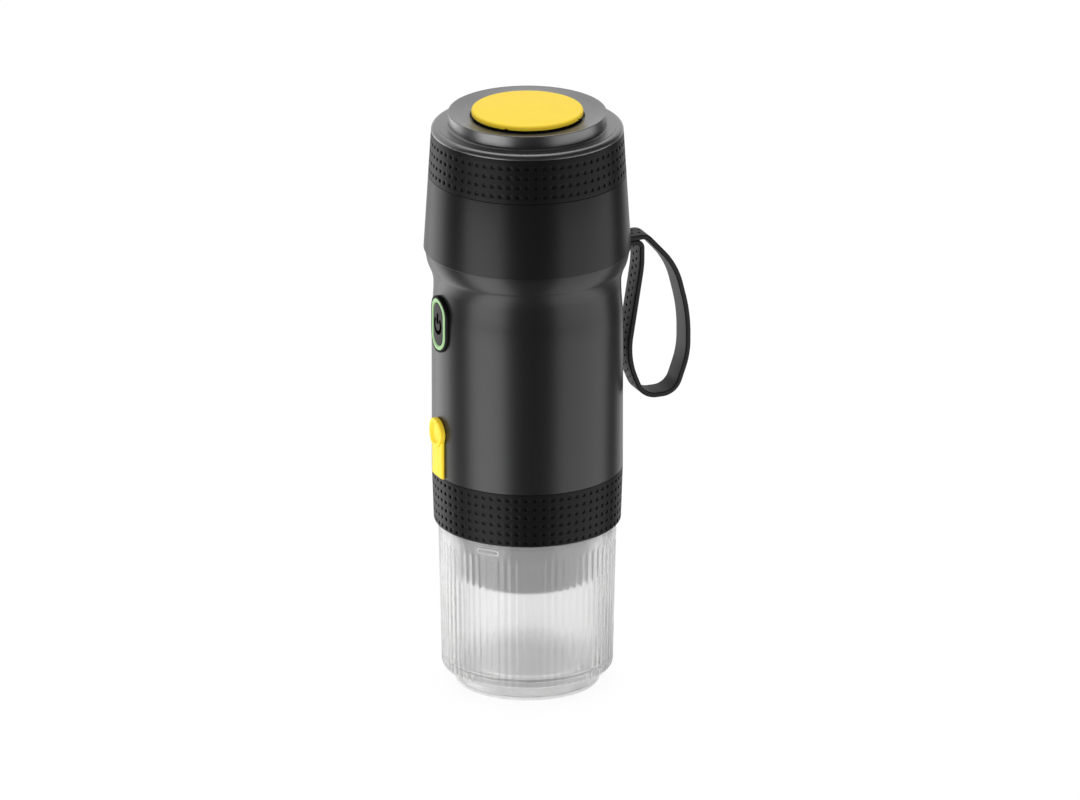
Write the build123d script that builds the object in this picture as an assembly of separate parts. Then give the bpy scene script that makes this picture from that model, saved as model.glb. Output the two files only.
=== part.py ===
from build123d import *
import os
from math import asin, cos, degrees, radians, sin, sqrt

# Portable coffee maker: a battery espresso machine that stands on its own cup.
# Millimetres, +Z up. The origin is the centre of the foot's underside, the power key is on
# the -Y side and the strap on the +Y side.

os.makedirs("parts", exist_ok=True)

# Clearances
lift_gap = 0.3  # between pieces that lift, slide or turn apart
hole_play = 0.05  # radial play of a screw, a shaft or a plunger in its hole
seat_play = 0.1  # on each side of a piece that seats in a hole or a nest
loose_play = 0.4  # where a piece passes with room to spare
cut_over = 1.0  # how far a cutter stands out of what it cuts

# Shells, each a step or a taper away from the barrel
barrel_r = 34.9
barrel_wall = 1.6
waist_in = 0.7  # waist inside the barrel's line
flare_out = 2.25  # flare beyond the barrel's line
head_out = 0.65  # head's lower edge beyond the flare
head_taper = 1.75
lid_grip_taper = 1.02
lid_shoulder_in = 0.05  # shoulder inside the sleeve's upper edge
lid_ledge_w = 6.2  # width of the shoulder outside the rim
low_grip_taper = 0.7
grip_t = 1.2
grip_round = 0.7
cup_in = 1.6  # cup's shoulder inside the sleeve's lower edge
cup_taper = 1.3
cup_wall = 1.3
foot_in = 5.0  # foot inside the cup's lower corner

# Heights up the shells
cup_h = 62.0  # floor to the shoulder that the machine stands on
low_grip_h = 20.5
barrel_h = 104.4  # underside of the machine to the head
waist_h = 1.0  # straight stretch of the waist
waist_run = 14.0  # height in which the barrel draws in to the waist
flare_run = 12.3  # height in which the waist opens out to the flare
flare_lip = 0.6  # straight stretch on top of the flare
head_h = 28.2
lid_grip_h = 16.4
lid_shoulder_h = 2.0
lid_rim_h = 5.2
pad_over_rim = 1.0  # pad's top above the lid's rim

# Cup with its foot pad, its flutes and the neck that enters the machine
foot_h = 1.3
foot_round = 0.3
cup_base_z = 5.1
cup_corner = 2.4
cup_corner_round = 2.2
cup_draft = 0.2  # how much wider the inside is at the mouth
cup_floor_z = 9.3
cup_floor_t = 2.0
cup_floor_round = 1.2
cup_neck_t = 1.2
cup_neck_h = 6.5
cup_ring_w = 2.6  # width of the foot ring under the cup
flute_count = 70
flute_w = 2.3
flute_depth = 0.25
flute_top = 4.6  # smooth band between the flutes and the shoulder

# Head, its collar and the water tank that hangs in it
ledge_up = 1.2  # ledge in the barrel above the sleeve
head_wall = 2.1
head_top_t = 2.4
head_round = 0.4
collar_wall = 1.3
collar_h = 8.4
tank_wall = 0.8
tank_round = 2.0
tank_up = 5.4  # room for the heater between the frame and the tank
tank_flange_t = 0.8
tank_seat_w = 2.4
spigot_r = 3.0
spigot_bore = 1.6
spigot_h = 4.0
heater_r = 17.0
heater_t = 2.0
probe_r = 2.5
probe_y = 6.0

# Lid with its dish, liner and seal
lid_wall = 2.2  # skirt between the sleeve and the collar
lid_bed = 1.3  # how far the lid's wall stands back under the sleeve
lid_top_t = 1.8
rim_wall = 2.0
rim_round = 0.3
rim_root_round = 1.0
shoulder_round = 1.3
dish_w = 7.9  # rim's outer edge to the well of the vent button
dish_depth = 1.6
dish_flat_w = 3.5  # shallow inner part of the dish
dish_flat_rise = 0.25
dish_round = 10.0
liner_wall = 2.0
liner_flange_h = 5.5
plug_drop = 5.2  # liner's plug below the collar
guide_wall = 1.7
seal_t = 1.1

# Vent button in the lid
pad_gap = 0.5  # open ring round the pad
pad_t = 1.9
pad_round = 0.5
pad_notch_w = 1.5
pad_notch_d = 0.8
pad_notches = 4
plunger_cap_t = 1.2
vent_travel = 1.0
stem_r = 3.0
stem_over = 0.4  # stem below its clip
valve_r = 6.0
valve_t = 1.5
clip_t = 0.8
clip_w = 1.4
spring_r = 4.8
spring_wire_r = 0.4
spring_turns = 4
spring_room = 1.6  # radial room round the spring
spring_seat_drop = 8.5  # well floor of the lid down to the spring's seat

# Inner frame, cells and electronics
deck_t = 2.5
post_w = 4.0
post_in = 0.5  # posts inside the board's ends
rear_post_w = 6.0
rear_post_y = 4.5
cell_r = 9.1
cell_l = 65.0
cell_in = 1.1  # cells inside the decks' edge
cell_gap = 1.26
nest_h = 3.0
nest_t = 1.0
board_w = 33.0
board_t = 1.6
board_setback = 8.7  # rear face of the control board behind the barrel's front
board_margin = 1.5  # board ends to the decks
board_screw_up = 12.0  # board's screws above the port

# Pump
motor_r = 12.0
motor_l = 29.5
motor_round = 1.0
motor_gap = 3.2  # motor to the control board
motor_boss_r = 4.0
motor_boss_h = 2.0
motor_screw_pitch = 8.0
shaft_r = 1.0
shaft_in = 7.5
shaft_over = 1.0
cam_r = 4.5
cam_t = 4.0
cam_throw = 1.2
plunger_r = 2.8
plunger_l = 9.8
plunger_round = 1.2
plunger_room = 1.5  # bore past the water line
pump_base_t = 2.5
pump_base_in = 0.5
pump_block_w = 11.0
pump_block_h = 18.5
pump_block_t = 4.0  # block past the water line, which runs from the tank to the brew head
pump_round = 2.0
pump_near_x = 9.0  # block's near side from the axis
port_boss_h = 3.0

# Brew head and capsule holder
brew_neck_in = 0.6  # brew head's neck inside the cup's mouth
brew_step_up = 3.5
brew_end_drop = 1.7  # brew head's end below the cup's shoulder
brew_boss_r = 21.6
brew_boss_up = 1.3
brew_slot_w = 4.8
brew_slot_depth = 8.7
brew_channel_h = 6.0
brew_seal_in = 0.9
brew_seal_w = 3.0
brew_seal_t = 2.0
seal_squeeze = 0.2
screen_r = 14.5
screen_t = 1.0
screen_lip = 1.0
screen_hole_r = 0.8
screen_holes = ((4.0, 6), (7.5, 12), (11.0, 18))  # radius and count of each ring
holder_r = 24.4
holder_h = 19.7
holder_straight_h = 11.4
holder_rim_t = 4.2
holder_floor_t = 3.9
holder_round = 1.0
capsule_mouth_r = 15.2
capsule_mouth_round = 0.6
capsule_seat_up = 0.8
capsule_end_r = 12.0
outlet_r = 3.0
pierce_t = 1.2
pierce_hole_r = 1.0
spike_h = 1.6
spike_low_r = 1.1
spike_top_r = 0.35
spikes = ((4.5, 6), (8.5, 12))  # radius and count of each ring

# Power key with its bezel and light ring, all of one stadium outline
key_drop = 25.2  # key's middle below the head
bezel_w = 15.5
bezel_l = 21.3
bezel_proud = 0.8
bezel_plug_t = 0.6  # plug's wall round the light ring
bezel_plug_in = 0.9  # how far the plug reaches behind the barrel's wall
ring_w = 12.0
ring_l = 19.5
ring_stroke = 1.35
ring_proud = 0.9
ring_depth = 2.3
key_proud = 0.7
key_travel = 0.6
key_flange_w = 0.8
key_flange_t = 1.4
switch_w = 6.0
switch_nose_r = 1.6
switch_nose_l = 0.6

# Charging port and its cover
port_up = 17.1  # port's middle above the sleeve
port_hole_w = 10.4
port_hole_h = 5.0
cover_r = 5.4
cover_proud = 1.9
cover_lift = 0.15  # the cover lies this far off the barrel
cover_gap = 0.1  # tail above the sleeve
fold_gap = 0.15  # between the fixed root and the cover
tail_w = 9.0
tail_proud = 1.2
tail_root = 3.8
peg_r = 1.2
peg_over = 0.2
plug_w = 7.6
plug_h = 2.0
plug_l = 1.7
socket_w = 8.94
socket_h = 3.2
socket_skin = 0.3
socket_rear_t = 1.0
tongue_w = 6.6
tongue_t = 0.7
tongue_in = 1.0

# Strap: moulded loop with both ends in one slot under the head
strap_w = 9.4
strap_t = 1.9
strap_root = 5.8  # length of the ends inside the wall
# Corners of the loop's centreline: outwards from the flare, down from the head, and radius
strap_route = [
    (19.9, 13.9, 30.0),
    (24.8, 33.2, 60.0),
    (24.8, 48.8, 30.0),
    (19.7, 63.0, 7.0),
    (7.05, 63.0, 8.0),
    (0.75, 47.5, 30.0),
    (6.45, 12.1, 40.0),
]
strap_out = 8.4  # where the upper end starts to bend down
strap_in = 6.45  # where the loop comes back to the lower end
strap_out_bend = 4.0
strap_in_bend = 2.2
slot_play = 0.2  # strap to the head above it
pin_r = 1.0
pin_inset = 1.6  # pin's axis from the strap's inner end
pin_depth = 1.9
bracket_w = 12.0
bracket_t = 2.6

# Fasteners
screw_r = 1.4
screw_l = 8.0
screw_head_r = 2.6
screw_head_h = 1.6
screw_slot_w = 0.6
frame_screw_in = 2.4  # screws that hold the brew head, inside its edge
frame_screw_angles = (0, 180, -40, -140)
small_screw_r = 1.0
small_screw_l = 5.0
small_screw_head_r = 1.9
small_screw_head_h = 1.2

# Levels worked out from the sizes above
neck_top_z = cup_h + cup_neck_h
seam_z = cup_h + lift_gap
low_grip_z = seam_z + low_grip_h
ledge_z = low_grip_z + ledge_up
head_z = seam_z + barrel_h
key_z = head_z - key_drop
port_z = low_grip_z + port_up
flare_z = head_z - flare_lip
waist_top_z = flare_z - flare_run
waist_low_z = waist_top_z - waist_h
waist_start_z = waist_low_z - waist_run
head_top_z = head_z + head_h
collar_z = head_top_z + collar_h
lid_z = head_top_z + lift_gap
lid_grip_z = lid_z + lid_grip_h
shoulder_z = lid_grip_z + lid_shoulder_h
rim_z = shoulder_z + lid_rim_h
dish_z = rim_z - dish_depth
pad_top_z = rim_z + pad_over_rim
pad_low_z = pad_top_z - pad_t
cap_low_z = pad_low_z - plunger_cap_t
well_z = cap_low_z - vent_travel - lift_gap
under_dish_z = well_z - lid_top_t
spring_seat_z = well_z - spring_seat_drop
flange_z = collar_z + tank_flange_t
seal_z = flange_z + lift_gap
plug_low_z = seal_z - plug_drop
ceiling_z = seal_z + seal_t + liner_flange_h
deck_z = ledge_z + deck_t
upper_deck_z = deck_z + cell_l + lift_gap
frame_top_z = upper_deck_z + deck_t
tank_low_z = frame_top_z + tank_up
tank_floor_z = tank_low_z + tank_wall
heater_z = tank_low_z - heater_t
motor_top_z = deck_z + motor_l
pump_base_z = motor_top_z + pump_base_t
block_top_z = pump_base_z + pump_block_h
cam_z = pump_base_z + pump_block_h / 2
brew_step_z = neck_top_z + brew_step_up
brew_end_z = cup_h - brew_end_drop
brew_boss_z = brew_end_z + brew_boss_up
brew_slot_z = brew_end_z + brew_slot_depth
holder_z = brew_end_z - holder_h
holder_floor_z = holder_z + holder_floor_t
tail_low_z = low_grip_z + cover_gap
hinge_z = tail_low_z + tail_root
peg_z = (low_grip_z + hinge_z) / 2
strap_top_z = head_z - slot_play
slot_low_z = strap_top_z - 2 * strap_t - lift_gap

# Radii and depths worked out from the sizes above
waist_r = barrel_r - waist_in
flare_r = barrel_r + flare_out
head_low_r = flare_r + head_out
head_top_r = head_low_r - head_taper
lid_grip_top_r = head_top_r - lid_grip_taper
lid_shoulder_r = lid_grip_top_r - lid_shoulder_in
lid_rim_r = lid_shoulder_r - lid_ledge_w
lid_skirt_r = head_top_r - lid_bed
lid_neck_r = lid_grip_top_r - lid_bed
lid_bore_r = lid_skirt_r - lid_wall
collar_r = lid_bore_r - lift_gap
tank_r = collar_r - collar_wall - lift_gap
tank_inner_r = tank_r - tank_wall
liner_plug_r = tank_inner_r - loose_play
liner_flange_r = lid_bore_r - loose_play
well_r = lid_rim_r - dish_w
pad_r = well_r - pad_gap
spring_well_r = spring_r + spring_wire_r + spring_room
low_grip_low_r = barrel_r - low_grip_taper
skirt_top_r = barrel_r - grip_t
skirt_low_r = low_grip_low_r - grip_t
cup_top_r = low_grip_low_r - cup_in
cup_low_r = cup_top_r - cup_taper
cup_inner_r = cup_low_r - cup_wall
cup_mouth_r = cup_inner_r + cup_draft
cup_neck_r = cup_mouth_r + cup_neck_t
foot_r = cup_low_r - foot_in
bore_r = cup_neck_r + lift_gap
brew_r = bore_r - lift_gap
brew_neck_r = cup_mouth_r - brew_neck_in
brew_seal_r = brew_boss_r - brew_seal_in
brew_slot_r = brew_boss_r + brew_slot_w
frame_screw_r = brew_r - frame_screw_in
deck_r = waist_r - barrel_wall - lift_gap
cell_pitch_r = deck_r - cell_in - cell_r
cell_step = 2 * degrees(asin((cell_r + cell_gap / 2) / cell_pitch_r))
barrel_inner_r = barrel_r - barrel_wall
bezel_low_r = barrel_inner_r - bezel_plug_in
key_flange_r = barrel_r + ring_proud - ring_depth - lift_gap
key_low_r = key_flange_r - key_flange_t
board_y = board_setback - barrel_r
board_front_y = board_y - board_t
motor_y = board_y + motor_gap + motor_r
seat_r = tank_r - tank_round
seat_inner_r = seat_r - tank_seat_w
port_x = sqrt((seat_inner_r - loose_play - spigot_r) ** 2 - motor_y**2)
strap_inner_y = flare_r - strap_root
pin_y = strap_inner_y + pin_inset


def outline(edges):
    """Closed face from a list of edges."""
    return make_face(Wire(edges))


def turned(points, rounds=()):
    """Solid of revolution about Z from (radius, height) corners, some of them rounded."""
    face = make_face(Polyline(*points, close=True))
    for corner, radius in rounds:
        vertex = face.vertices().sort_by_distance((corner[0], corner[1], 0))[0]
        face = fillet(vertex, radius)
    return revolve(Plane.XZ * face, Axis.Z)


def ogee(start, end):
    """Two equal arcs between points of an outline, upright at both ends."""
    middle = ((start[0] + end[0]) / 2, (start[1] + end[1]) / 2)
    upright = (0, 1) if end[1] > start[1] else (0, -1)
    first = TangentArc(start, middle, tangent=upright)
    return [first, TangentArc(middle, end, tangent=first % 1)]


def rod(radius, low, high, x=0.0, y=0.0):
    """Upright cylinder between two levels."""
    place = Pos(x, y, (low + high) / 2)
    return place * Cylinder(radius, high - low)


def tube(radius, bore, low, high, x=0.0, y=0.0):
    """Upright tube between two levels."""
    return rod(radius, low, high, x, y) - rod(bore, low - cut_over, high + cut_over, x, y)


def bar(radius, start, end):
    """Cylinder between two points."""
    way = Vector(*end) - Vector(*start)
    middle = (Vector(*end) + Vector(*start)) / 2
    return Plane(origin=middle, z_dir=way) * Cylinder(radius, way.length)


def block(x, y, z):
    """Box between the given (low, high) pairs."""
    size = Box(x[1] - x[0], y[1] - y[0], z[1] - z[0])
    return Pos((x[0] + x[1]) / 2, (y[0] + y[1]) / 2, (z[0] + z[1]) / 2) * size


def around(middle, size):
    """The (low, high) pair of a size about its middle."""
    return middle - size / 2, middle + size / 2


def on_ring(radius, angle):
    """X and Y of a point on a circle about the axis."""
    return radius * cos(radians(angle)), radius * sin(radians(angle))


def ring_places(rings):
    """Points spread evenly on each (radius, count) ring."""
    return [on_ring(radius, 360 * step / count) for radius, count in rings for step in range(count)]


def stadium(width, length):
    """Upright stadium in the front view, centred on the power key."""
    return Pos(0, key_z) * SlotOverall(length, width, rotation=90)


def front_prism(face):
    """Prism of a front-view outline from the axis out through the front wall."""
    return extrude(Plane.XZ * face, flare_r + cut_over)


def front_patch(face, inner, outer):
    """Piece of an upright tube wall with a front-view outline."""
    return front_prism(face) & tube(outer, inner, 0, pad_top_z)


def barrel_skin(inset):
    """Edges up the barrel's side from the ledge to the head, set in from the surface."""
    low = (barrel_r - inset, ledge_z)
    start = (barrel_r - inset, waist_start_z)
    waist_low = (waist_r - inset, waist_low_z)
    waist_top = (waist_r - inset, waist_top_z)
    flare = (flare_r - inset, flare_z)
    top = (flare_r - inset, head_z)
    return (
        [Line(low, start)]
        + ogee(start, waist_low)
        + [Line(waist_low, waist_top)]
        + ogee(waist_top, flare)
        + [Line(flare, top)]
    )


def barrel_envelope(inset):
    """Everything inside the barrel's surface or its wall, above the skirt."""
    closing = [
        Line((flare_r - inset, head_z), (0, head_z)),
        Line((0, head_z), (0, ledge_z)),
        Line((0, ledge_z), (barrel_r - inset, ledge_z)),
    ]
    return revolve(Plane.XZ * outline(barrel_skin(inset) + closing), Axis.Z)


def make_cup_foot():
    points = [(0, 0), (foot_r, 0), (foot_r, foot_h), (0, foot_h)]
    return turned(points, [((foot_r, 0), foot_round)])


def flute_cutters():
    """Leaning rods that cut the flutes round the cup's wall."""
    cutter_r = (flute_w**2 / 4 + flute_depth**2) / (2 * flute_depth)
    slope = (cup_top_r - cup_low_r) / (cup_h - cup_base_z)
    off = cup_low_r + cutter_r - flute_depth
    low_z = cup_base_z - cup_corner - cut_over
    high_z = cup_h - flute_top
    low = (off + slope * (low_z - cup_base_z), 0, low_z)
    high = (off + slope * (high_z - cup_base_z), 0, high_z)
    one = bar(cutter_r, low, high)
    return [Rot(0, 0, 360 * step / flute_count) * one for step in range(flute_count)]


def make_cup():
    ring_r = foot_r - cup_ring_w
    under_z = cup_floor_z - cup_floor_t
    points = [
        (0, under_z),
        (ring_r, under_z),
        (ring_r, foot_h),
        (foot_r, foot_h),
        (cup_low_r - cup_corner, cup_base_z),
        (cup_low_r, cup_base_z),
        (cup_top_r, cup_h),
        (cup_neck_r, cup_h),
        (cup_neck_r, neck_top_z),
        (cup_mouth_r, neck_top_z),
        (cup_inner_r, cup_floor_z),
        (0, cup_floor_z),
    ]
    rounds = [
        ((cup_low_r, cup_base_z), cup_corner_round),
        ((cup_inner_r, cup_floor_z), cup_floor_round),
    ]
    return turned(points, rounds).cut(*flute_cutters())


def make_lower_grip():
    points = [
        (skirt_low_r + hole_play, seam_z),
        (low_grip_low_r, seam_z),
        (barrel_r, low_grip_z),
        (skirt_top_r + hole_play, low_grip_z),
    ]
    return turned(points, [((low_grip_low_r, seam_z), grip_round)])


def make_barrel_shell():
    closing = [
        Line((flare_r - barrel_wall, head_z), (flare_r, head_z)),
        Line((barrel_r, ledge_z), (barrel_r, low_grip_z)),
        Line((barrel_r, low_grip_z), (skirt_top_r, low_grip_z)),
        Line((skirt_top_r, low_grip_z), (skirt_low_r, seam_z)),
        Line((skirt_low_r, seam_z), (bore_r, seam_z)),
        Line((bore_r, seam_z), (bore_r, ledge_z)),
        Line((bore_r, ledge_z), (barrel_inner_r, ledge_z)),
    ]
    edges = barrel_skin(barrel_wall) + barrel_skin(0) + closing
    shell = revolve(Plane.XZ * outline(edges), Axis.Z)
    plug_room = 2 * (bezel_plug_t + seat_play)
    shell -= front_prism(stadium(ring_w + plug_room, ring_l + plug_room))
    shell -= front_prism(Pos(0, port_z) * SlotOverall(port_hole_w, port_hole_h))
    shell -= front_prism(Pos(0, peg_z) * Circle(peg_r + hole_play))
    slot_w = strap_w + 2 * lift_gap
    slot_y = (tank_r, flare_r + cut_over)
    return shell - block(around(0, slot_w), slot_y, (slot_low_z, head_z + cut_over))


def make_head_shell():
    web_z = head_top_z - head_top_t
    points = [
        (head_low_r, head_z),
        (head_top_r, head_top_z),
        (collar_r, head_top_z),
        (collar_r, collar_z),
        (collar_r - collar_wall, collar_z),
        (collar_r - collar_wall, web_z),
        (head_top_r - head_wall, web_z),
        (head_low_r - head_wall, head_z),
    ]
    rounds = [((head_low_r, head_z), head_round), ((head_top_r, head_top_z), head_round)]
    return turned(points, rounds)


def make_water_tank():
    points = [
        (0, tank_low_z),
        (tank_r, tank_low_z),
        (tank_r, collar_z),
        (collar_r, collar_z),
        (collar_r, flange_z),
        (tank_inner_r, flange_z),
        (tank_inner_r, tank_floor_z),
        (0, tank_floor_z),
    ]
    inner_round = tank_round - tank_wall
    rounds = [((tank_r, tank_low_z), tank_round), ((tank_inner_r, tank_floor_z), inner_round)]
    tank = turned(points, rounds)
    spigot_z = tank_low_z - spigot_h
    tank += rod(spigot_r, spigot_z, tank_low_z + tank_wall / 2, port_x, motor_y)
    return tank - rod(spigot_bore, spigot_z - cut_over, tank_floor_z + cut_over, port_x, motor_y)


def make_tank_seat():
    return tube(seat_r, seat_inner_r, frame_top_z, tank_low_z)


def make_heater_plate():
    return rod(heater_r, heater_z, tank_low_z)


def make_temperature_probe():
    return rod(probe_r, frame_top_z, heater_z, 0, probe_y)


def cell_places():
    return [on_ring(cell_pitch_r, 90 + step * cell_step) for step in (-1, 0, 1)]


def frame_screw_places():
    return [on_ring(frame_screw_r, angle) for angle in frame_screw_angles]


def motor_screw_places():
    return [(0, y) for y in around(motor_y, 2 * motor_screw_pitch)]


def board_screw_places():
    return [(x, port_z + board_screw_up) for x in post_places()]


def post_places():
    return around(0, board_w - post_w - 2 * post_in)


def make_chassis():
    """Two decks on three posts, with a nest for each end of each cell.

    The upper deck ends flush with the control board, to leave room for the power key.
    """
    front = block(around(0, 2 * deck_r), (-deck_r, board_front_y), (upper_deck_z, frame_top_z))
    decks = rod(deck_r, ledge_z, deck_z) + (rod(deck_r, upper_deck_z, frame_top_z) - front)
    nests = Part()
    bed_r = cell_r + 2 * seat_play
    for x, y in cell_places():
        nests += tube(bed_r + nest_t, bed_r, deck_z, deck_z + nest_h, x, y)
        nests += tube(bed_r + nest_t, bed_r, upper_deck_z - nest_h, upper_deck_z, x, y)
    frame = decks + (nests & rod(deck_r, ledge_z, frame_top_z))
    rise = (deck_z, upper_deck_z)
    for x in post_places():
        frame += block(around(x, post_w), (board_y, board_y + post_w), rise)
    frame += block(around(0, rear_post_w), (rear_post_y, rear_post_y + post_w), rise)
    pipe_r = spigot_r + loose_play
    frame -= rod(pipe_r, ledge_z - cut_over, frame_top_z + cut_over, port_x, motor_y)
    for x, y in frame_screw_places():
        frame -= rod(screw_r + hole_play, ledge_z - cut_over, deck_z + cut_over, x, y)
    for x, z in board_screw_places():
        start, end = (x, board_y - cut_over, z), (x, board_y + post_w + cut_over, z)
        frame -= bar(small_screw_r + hole_play, start, end)
    return frame


def make_battery_cells():
    return [rod(cell_r, deck_z, deck_z + cell_l, x, y) for x, y in cell_places()]


def make_pump_motor():
    points = [(0, deck_z), (motor_r, deck_z), (motor_r, motor_top_z), (0, motor_top_z)]
    can = turned(points, [((motor_r, motor_top_z), motor_round)])
    boss_z = motor_top_z + motor_boss_h
    can += rod(motor_boss_r, motor_top_z, boss_z)
    can -= rod(shaft_r + hole_play, motor_top_z - shaft_in - lift_gap, boss_z + cut_over)
    return Pos(0, motor_y, 0) * can


def make_pump_block():
    """Base on the motor, and the block with the plunger's bore and the two ports."""
    body = rod(motor_r - pump_base_in, motor_top_z, pump_base_z, 0, motor_y)
    span = (pump_near_x, port_x + pump_block_t)
    walls = block(span, around(motor_y, pump_block_w), (motor_top_z, block_top_z))
    body += fillet(walls.edges().filter_by(Axis.X), pump_round)
    low, high = motor_top_z - port_boss_h, block_top_z + port_boss_h
    body += rod(spigot_r, low, high, port_x, motor_y)
    boss_r = motor_boss_r + 2 * seat_play
    body -= rod(boss_r, motor_top_z - cut_over, pump_base_z + cut_over, 0, motor_y)
    bore_start = (pump_near_x - cut_over, motor_y, cam_z)
    body -= bar(plunger_r + hole_play, bore_start, (port_x + plunger_room, motor_y, cam_z))
    body -= rod(spigot_bore, low - cut_over, high + cut_over, port_x, motor_y)
    for x, y in motor_screw_places():
        body -= rod(small_screw_r + hole_play, motor_top_z - cut_over, pump_base_z + cut_over, x, y)
    return body


def make_pump_shaft():
    return rod(shaft_r, motor_top_z - shaft_in, cam_z + cam_t / 2 + shaft_over, 0, motor_y)


def make_pump_cam():
    low, high = around(cam_z, cam_t)
    cam = rod(cam_r, low, high, cam_throw, motor_y)
    return cam - rod(shaft_r, low - cut_over, high + cut_over, 0, motor_y)


def make_pump_plunger():
    start = cam_r + 2 * cam_throw + lift_gap
    body = bar(plunger_r, (start, motor_y, cam_z), (start + plunger_l, motor_y, cam_z))
    return fillet(body.edges().group_by(Axis.X)[0], plunger_round)


def make_inlet_tube():
    return tube(spigot_r, spigot_bore, block_top_z + port_boss_h, tank_low_z - spigot_h,
                port_x, motor_y)


def make_outlet_tube():
    return tube(spigot_r, spigot_bore, ledge_z, motor_top_z - port_boss_h, port_x, motor_y)


def make_control_board():
    z = (deck_z + board_margin, upper_deck_z - board_margin)
    board = block(around(0, board_w), (board_front_y, board_y), z)
    for x, height in board_screw_places():
        start, end = (x, board_front_y - cut_over, height), (x, board_y + cut_over, height)
        board -= bar(small_screw_r + hole_play, start, end)
    return board


def make_power_switch():
    tip_y = key_travel + lift_gap - key_low_r
    depth = (tip_y + switch_nose_l, board_front_y)
    body = block(around(0, switch_w), depth, around(key_z, switch_w))
    return body + bar(switch_nose_r, (0, tip_y, key_z), (0, board_front_y, key_z))


def make_usb_socket():
    """Flat steel shell open to the front, with the tongue in its middle."""
    mouth_y = -barrel_inner_r
    length = board_front_y - mouth_y
    outside = SlotOverall(socket_w, socket_h)
    inside = SlotOverall(socket_w - 2 * socket_skin, socket_h - 2 * socket_skin)
    shell = extrude(Plane.XZ.offset(-board_front_y) * (Pos(0, port_z) * outside), length)
    room = Plane.XZ.offset(socket_rear_t - board_front_y)
    shell -= extrude(room * (Pos(0, port_z) * inside), length)
    depth = (mouth_y + tongue_in, board_front_y - socket_rear_t / 2)
    return shell + block(around(0, tongue_w), depth, around(port_z, tongue_t))


def make_button_bezel():
    """Plate that seats on the barrel's curve, with a plug through the wall."""
    plate = front_patch(stadium(bezel_w, bezel_l), barrel_inner_r, barrel_r + bezel_proud)
    plate -= barrel_envelope(0)
    plug = stadium(ring_w + 2 * bezel_plug_t, ring_l + 2 * bezel_plug_t)
    plug = front_patch(plug, bezel_low_r, barrel_r + bezel_proud / 2)
    return (plate + plug) - front_prism(stadium(ring_w, ring_l))


def make_light_ring():
    inner = stadium(ring_w - 2 * ring_stroke, ring_l - 2 * ring_stroke)
    band = stadium(ring_w, ring_l) - inner
    return front_patch(band, barrel_r + ring_proud - ring_depth, barrel_r + ring_proud)


def make_power_key():
    """Key between the ring's inner edges, with a flange that the ring holds in."""
    gap = 2 * (ring_stroke + lift_gap)
    cap = front_patch(stadium(ring_w - gap, ring_l - gap), key_low_r, barrel_r + key_proud)
    wide = gap - 2 * key_flange_w
    flange = stadium(ring_w - wide, ring_l - wide)
    return cap + front_patch(flange, key_low_r, key_flange_r)


def make_port_cover():
    """Round cap with its tail and plug; it folds down about the top of the tail's root."""
    inner = barrel_r + cover_lift
    low = hinge_z + fold_gap
    tail = Pos(0, (port_z + low) / 2) * Rectangle(tail_w, port_z - low)
    cover = front_patch(tail, inner, barrel_r + tail_proud)
    cover += front_patch(Pos(0, port_z) * Circle(cover_r), inner, barrel_r + cover_proud)
    plug = Pos(0, port_z) * SlotOverall(plug_w, plug_h)
    return cover + front_patch(plug, barrel_r - plug_l, barrel_r + cover_proud / 2)


def make_port_cover_root():
    """End of the cover's tail, held by a peg through the barrel's wall."""
    tail = Pos(0, (hinge_z + tail_low_z) / 2) * Rectangle(tail_w, hinge_z - tail_low_z)
    root = front_patch(tail, barrel_r + cover_lift, barrel_r + tail_proud)
    peg = Pos(0, peg_z) * Circle(peg_r)
    return root + front_patch(peg, barrel_inner_r - peg_over, barrel_r + tail_proud / 2)


def make_brew_head():
    """Manifold under the inner frame, with the round slot that takes the holder's rim."""
    seal_top = brew_boss_z + brew_seal_t
    screen_bed_r = screen_r + 2 * seat_play
    screen_top = brew_boss_z + screen_t + screen_lip
    points = [
        (0, ledge_z),
        (brew_r, ledge_z),
        (brew_r, brew_step_z),
        (brew_neck_r, brew_step_z),
        (brew_neck_r, brew_end_z),
        (brew_slot_r, brew_end_z),
        (brew_slot_r, brew_slot_z),
        (brew_boss_r, brew_slot_z),
        (brew_boss_r, brew_boss_z),
        (brew_seal_r, brew_boss_z),
        (brew_seal_r, seal_top),
        (brew_seal_r - brew_seal_w, seal_top),
        (brew_seal_r - brew_seal_w, brew_boss_z),
        (screen_bed_r, brew_boss_z),
        (screen_bed_r, screen_top),
        (0, screen_top),
    ]
    head = turned(points)
    for x, y in frame_screw_places():
        head -= rod(screw_r + hole_play, ledge_z - screw_l, ledge_z + cut_over, x, y)
    return head - rod(spigot_bore, ledge_z - brew_channel_h, ledge_z + cut_over, port_x, motor_y)


def make_brew_seal():
    low = brew_boss_z - seal_squeeze
    return tube(brew_seal_r, brew_seal_r - brew_seal_w, low, brew_boss_z + brew_seal_t)


def make_shower_screen():
    """Dished steel screen with three rings of holes."""
    top = brew_boss_z + screen_t
    screen = rod(screen_r, brew_boss_z, top)
    hole = extrude(RegularPolygon(screen_hole_r, 4), screen_t + 2 * cut_over)
    holes = [Pos(x, y, brew_boss_z - cut_over) * hole for x, y in ring_places(screen_holes)]
    return screen.cut(*holes) + tube(screen_r, screen_r - screen_t, top, top + screen_lip)


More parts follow.
